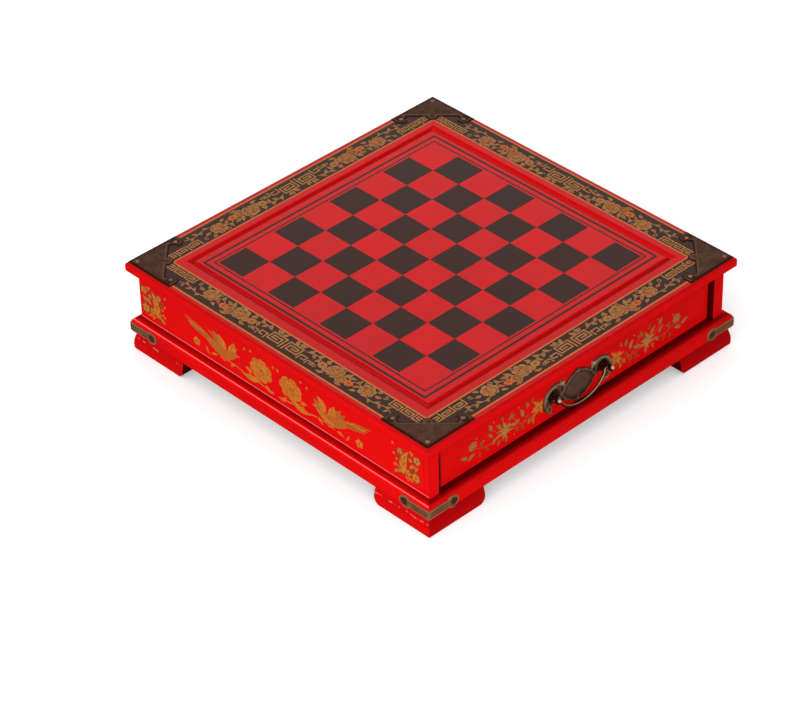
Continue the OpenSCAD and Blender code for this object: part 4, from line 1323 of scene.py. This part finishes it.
class CHESSBOX_OT_brackets(bpy.types.Operator):
    """Presses the four corner brackets from sheet"""

    bl_idname = "chess_box.brackets"
    bl_label = "Corner brackets"
    bl_options = {"REGISTER", "UNDO"}

    # x and y run along the two legs, from the outer corner
    leg = 38.0
    depth = 33.6
    scroll = 4.6
    scroll_low = scroll + 0.6
    scroll_mid = leg - scroll
    bite = 1.9
    knob = 3.9
    hook = 1.1
    hook_aside = 7.6
    nail = 4.0
    nail_seat = 1.6

    def edge(self, x, y):
        mid, low, half = self.scroll_mid, self.scroll_low, self.depth / 2
        whole = np.full(np.shape(x), 99.0)
        for a, b in ((x, y), (y, x)):
            scroll = np.minimum(circle_edge(a, b, mid, low, self.scroll),
                np.maximum(np.maximum(a - self.leg, b - low), -a))
            body = np.maximum(np.maximum((a + b - self.depth) / 2 ** 0.5, b - (self.depth - low)), a - mid)
            hook = circle_edge(a, b, half + self.hook_aside, (half - self.hook_aside) + 1.6, self.hook)
            whole = np.minimum(whole, np.maximum(np.minimum(scroll, body), -hook))
        whole = np.minimum(whole, circle_edge(x, y, half, half, self.knob))
        for a, b in ((x, y), (y, x)):
            bite = circle_edge(a, b, mid - 0.8 * self.scroll, low + 0.6 * self.scroll, self.bite)
            whole = np.maximum(whole, -bite)
        return np.maximum(np.maximum(whole, -x), -y)

    def relief(self, x, y, inset):
        thick = sheet()
        outer = np.minimum(x, y)
        inner = np.where(inset < outer - 0.15, inset, 99.0)
        # dark along the outer and the inner edges: patina in the pressed groove, made near black as painted
        # shadow where the sheet's edge drops to the rail
        border = 1 - soft(outer, 1.3, 2.0)
        groove = border + 1.2 * ridge(inner, 0.2, 0.9) + 0.35 * ridge(outer, 2.8, 0.35)
        dome = soft(inset, 1.8, 9.0) * 0.3
        mid, low = self.scroll_mid, self.scroll_low
        whorl = np.minimum(circle_edge(x, y, mid, low, 0), circle_edge(x, y, low, mid, 0))
        curl = ridge(whorl, 2.5, 0.9)
        height = thick * soft(inset, -0.15, 0.25) - 0.2 * np.clip(groove, 0, 1) + dome - 0.12 * curl
        near_nail = np.minimum(whorl, circle_edge(x, y, self.nail, self.nail, 0))
        height = np.where(near_nail < self.nail_seat, thick - 0.02, height)
        # a pale rim inside the inner edge: rubbed metal and painted highlight
        rub = 0.22 * ridge(inner, 1.5, 0.4) * (1 - border)
        return height, rub, np.clip(groove + curl, 0, 1)

    def execute(self, context):
        for turn, corner in enumerate(CORNERS):
            face = Surface((BRACKET_START, BRACKET_START, RAIL_TOP), (1, 0, 0), (0, 1, 0), turn)
            name = f"stamped_bracket_{corner}"
            mesh = stamped(name, self.edge, self.relief, (-0.5, 39, -0.5, 39), 0.4, face)
            piece = finish_piece(mesh, name, finish_named("aged_bronze"), "box", 50)
            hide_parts(f"bracket_{corner}")
        return {"FINISHED"}


class CHESSBOX_OT_straps(bpy.types.Operator):
    """Presses the four corner straps of the plinth"""

    bl_idname = "chess_box.straps"
    bl_label = "Corner straps"
    bl_options = {"REGISTER", "UNDO"}

    # x runs along an arm from the corner, y across it from its middle
    reach = 23.7
    round = 4.1
    middle = reach - round
    arm = 5.8
    neck = 4.8
    nail_seat = 1.7

    def edge(self, x, y):
        y = np.abs(y)
        half = np.where(x < self.middle - self.round - 1.2, self.arm / 2, self.neck / 2)
        arm = np.maximum(y - half, x - self.middle)
        flare = circle_edge(x, y, 1.2, self.arm / 2 - 0.6, 1.0)
        lobe = circle_edge(x, y, self.middle - 1.4, 0.7, self.round - 0.5)
        tip = circle_edge(x, y, self.middle + 0.4, 0, self.round - 0.5)
        return np.maximum(np.minimum(np.minimum(np.minimum(arm, lobe), tip), flare), -x - 0.6)

    def relief(self, x, y, inset):
        thick = sheet()
        nail = circle_edge(x, y, self.middle, 0, 0)
        rim = ridge(inset, 0.45, 0.35)
        line = ridge(np.abs(y), 1.3, 0.4) * (x < self.middle - self.round)
        height = thick * soft(inset, -0.2, 0.25) + 0.12 * rim - 0.16 * line
        height = np.where(nail < self.nail_seat, thick - 0.02, height)
        return height, 0.45 * rim, np.clip(0.3 * line + ridge(nail, 1.8, 0.7), 0, 1)

    def execute(self, context):
        start = STRAP_OUT - sheet()
        for turn, corner in enumerate(CORNERS):
            work = bmesh.new()
            for across, up in (((1, 0, 0), (0, 0, 1)), ((0, 1, 0), (0, 0, -1))):
                arm = Surface((-start, -start, STRAP_MID), across, up, turn)
                mesh = stamped("arm", self.edge, self.relief, (-0.6, 24.5, -5, 5), 0.3, arm)
                work.from_mesh(mesh)
                bpy.data.meshes.remove(mesh)
            name = f"stamped_strap_{corner}"
            mesh = write(work, bpy.data.meshes.new(name))
            piece = finish_piece(mesh, name, finish_named("strap_bronze"), "box", 50)
            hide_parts(f"strap_{corner}")
        return {"FINISHED"}


class CHESSBOX_OT_handles(bpy.types.Operator):
    """Presses the handle plates and bends the bails"""

    bl_idname = "chess_box.handles"
    bl_label = "Handles"
    bl_options = {"REGISTER", "UNDO"}

    # x runs along the drawer and y up it, from the middle of the plate
    shield = (15.3, 11.6)
    fullness = 1.4
    scallops = 6
    lobe_x = 18.7
    lobe_r = 10.3
    bead = (13.4, 8.4)
    cup = (20.6, 2.2)
    eye = (24.5, -5.4)
    pin = 9.9
    pin_seat = 1.3
    post = (22.5, 2.4)
    post_seat = 3.1
    post_inner_end = 2.4

    def scallop(self, angle):
        return np.abs(np.cos(self.scallops * angle))

    def shield_edge(self, x, y):
        a, b = self.shield
        angle = np.arctan2(y / b, x / a)
        n = self.fullness
        reach = (np.abs(np.cos(angle)) ** n + np.abs(np.sin(angle)) ** n) ** (-1 / n)
        reach = reach * (1 - 0.06 * (1 - self.scallop(angle)))
        return (np.hypot(x / a, y / b) - reach) * b

    def lobe_edge(self, x, y):
        x = np.abs(x)
        low = self.eye[1]
        lobe = circle_edge(x, y, self.lobe_x, 0, self.lobe_r)
        for cut in (circle_edge(x, y, self.lobe_x - 0.9, low, 4.7), np.maximum(x - self.lobe_x, y - low),
                circle_edge(x, y, *self.eye, 0.9)):
            lobe = np.maximum(lobe, -cut)
        return lobe

    def edge(self, x, y):
        bead = circle_edge(np.abs(x), y, *self.bead, 1.6)
        return np.minimum(np.minimum(self.shield_edge(x, y), self.lobe_edge(x, y)), bead)

    def relief(self, x, y, inset):
        ax = np.abs(x)
        in_shield = -self.shield_edge(x, y)
        in_lobe = -circle_edge(ax, y, self.lobe_x, 0, self.lobe_r)
        cup = np.hypot((ax - self.cup[0]) / 4.8, (y - self.cup[1]) / 5.0)
        eye = circle_edge(ax, y, *self.eye, 0)
        bead = np.hypot((ax - self.bead[0]) / 2.2, (y - self.bead[1]) / 1.5)
        rim = ridge(in_lobe, 1.2, 0.9) * soft(inset, 0.1, 0.6)
        cup_rim = ridge(cup, 1.12, 0.16)
        lobe = 0.45 + 0.95 * np.maximum(rim, 0.7 * cup_rim) + 0.6 * ridge(eye, 2.0, 0.6)
        lobe = lobe - 0.3 * soft(1 - cup, 0, 0.4)
        flutes = 0.06 * self.scallop(np.arctan2(y / self.shield[1], x / self.shield[0]))
        # the welt is lower at the plate's foot, where the bail comes close
        welt = 0.3 - 0.18 * soft(-y, 8.2, 9.2)
        plate = 1.0 + welt * ridge(in_shield, 0.8, 0.5) + flutes * soft(4 - in_shield, 0, 3)
        plate = plate + 0.18 * soft(in_shield, 2, 7)
        blend = soft(in_shield, -0.15, 0.25)
        height = lobe * (1 - blend) + plate * blend
        height = np.maximum(height, np.where(bead < 1, 1.0 + 0.9 * np.sqrt(np.clip(1 - bead ** 2, 0, 1)), 0))
        height = height * soft(inset, -0.3, 0.3)
        pin = circle_edge(x, np.abs(y), 0, self.pin, 0)
        post = circle_edge(ax, y, *self.post, 0)
        height = np.where((pin < self.pin_seat) | (post < self.post_seat), 0.98, height)
        out = 1 - blend
        # the lobes' rims are rubbed lighter, and lighter still towards their top, a painted highlight where
        # the light falls from above
        lobe_rub = (0.3 + 0.35 * soft(y, -4, 6)) * rim + 0.2 * cup_rim + 0.4 * ridge(eye, 2.0, 0.5)
        plate_rub = 0.35 * ridge(in_shield, 0.6, 0.4) + 0.06 * soft(in_shield, 2.4, 4.0)
        rub = np.maximum(out * np.clip(lobe_rub, 0, 1), plate_rub * blend)
        # the cups are painted near black, patina in the cups deepened as painted shadow of the posts; dark
        # lines run just outside the shield's edge and inside its welt
        hollow = out * np.clip(1.6 * soft(1.25 - cup, 0, 0.2) + ridge(in_shield, -0.5, 0.8), 0, 1)
        hollow = np.maximum(hollow, 0.6 * ridge(in_shield, 1.7, 0.6) * blend)
        return height, np.where(bead < 1, 1.0, np.clip(rub, 0, 1)), np.where(bead < 1, 0, hollow)

    def bail_path(self, sizes, turn):
        """Half oval whose ends turn outwards into the posts."""
        half, drop, bend = sizes.bail_half / MM, sizes.bail_drop / MM, 1.5
        start = math.asin(bend / drop) * 0.8
        angles = (start + (math.pi - 2 * start) * k / 48 for k in range(49))
        oval = [(half * math.cos(a), -drop * math.sin(a)) for a in angles]

        def end(side):
            tip = half + bend
            quarter = (math.pi / 2 * k / 6 for k in range(1, 7))
            arc = [(side * (tip - bend * math.cos(a)), -bend + bend * math.sin(a)) for a in quarter]
            return arc + [(side * (self.post[0] + self.post_inner_end), 0)]
        spin = quarter_turn(turn)
        path = end(1)[::-1] + oval + end(-1)
        return [tuple(spin @ np.array([x, PIVOT_Y, PIVOT_Z + z]) * MM) for x, z in path]

    def execute(self, context):
        _colours, sizes = settings()
        bronze = finish_named("aged_bronze")
        for side, turn in DRAWERS:
            face = Surface((0, FACE_Y, PLATE_MID), (1, 0, 0), (0, 0, 1), turn)
            name = f"{side}_stamped_plate"
            mesh = stamped(name, self.edge, self.relief, (-30, 30, -12.2, 12.2), 0.32, face)
            plate = finish_piece(mesh, name, bronze, f"{side}_drawer", 50)
            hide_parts(f"{side}_handle_plate")
            name = f"{side}_bent_bail"
            # the side of the bail that gets the painted highlight: up and forwards
            lit = Vector(quarter_turn(turn) @ np.array([0, -0.45, 0.9]))
            mesh = tube(name, self.bail_path(sizes, turn), sizes.wire, lit)
            bail = finish_piece(mesh, name, bronze, f"{side}_bail", 60)
            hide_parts(f"{side}_bail")
        return {"FINISHED"}


STEPS = (CHESSBOX_OT_stage, CHESSBOX_OT_woodwork, CHESSBOX_OT_band, CHESSBOX_OT_wall_painting,
    CHESSBOX_OT_drawer_painting, CHESSBOX_OT_brackets, CHESSBOX_OT_straps, CHESSBOX_OT_handles)


class CHESSBOX_PT_panel(bpy.types.Panel):
    """Lists the steps that dress the chess box"""

    bl_idname = "CHESSBOX_PT_panel"
    bl_label = "Chess Box"
    bl_space_type = "VIEW_3D"
    bl_region_type = "UI"
    bl_category = "Chess Box"

    def draw(self, context):
        for step in STEPS:
            self.layout.operator(step.bl_idname)
        for group in (context.scene.chess_box_sizes, context.scene.chess_box_colours):
            for name in group.__annotations__:
                self.layout.prop(group, name)


CLASSES = (ChessBoxColours, ChessBoxSizes, *STEPS, CHESSBOX_PT_panel)


def register():
    for made in CLASSES:
        bpy.utils.register_class(made)
    bpy.types.Scene.chess_box_colours = bpy.props.PointerProperty(type=ChessBoxColours)
    bpy.types.Scene.chess_box_sizes = bpy.props.PointerProperty(type=ChessBoxSizes)


def unregister():
    del bpy.types.Scene.chess_box_sizes
    del bpy.types.Scene.chess_box_colours
    for made in reversed(CLASSES):
        bpy.utils.unregister_class(made)


def main():
    register()
    for step in STEPS:
        group, name = step.bl_idname.split(".")
        getattr(getattr(bpy.ops, group), name)()


if __name__ == "__main__":
    main()
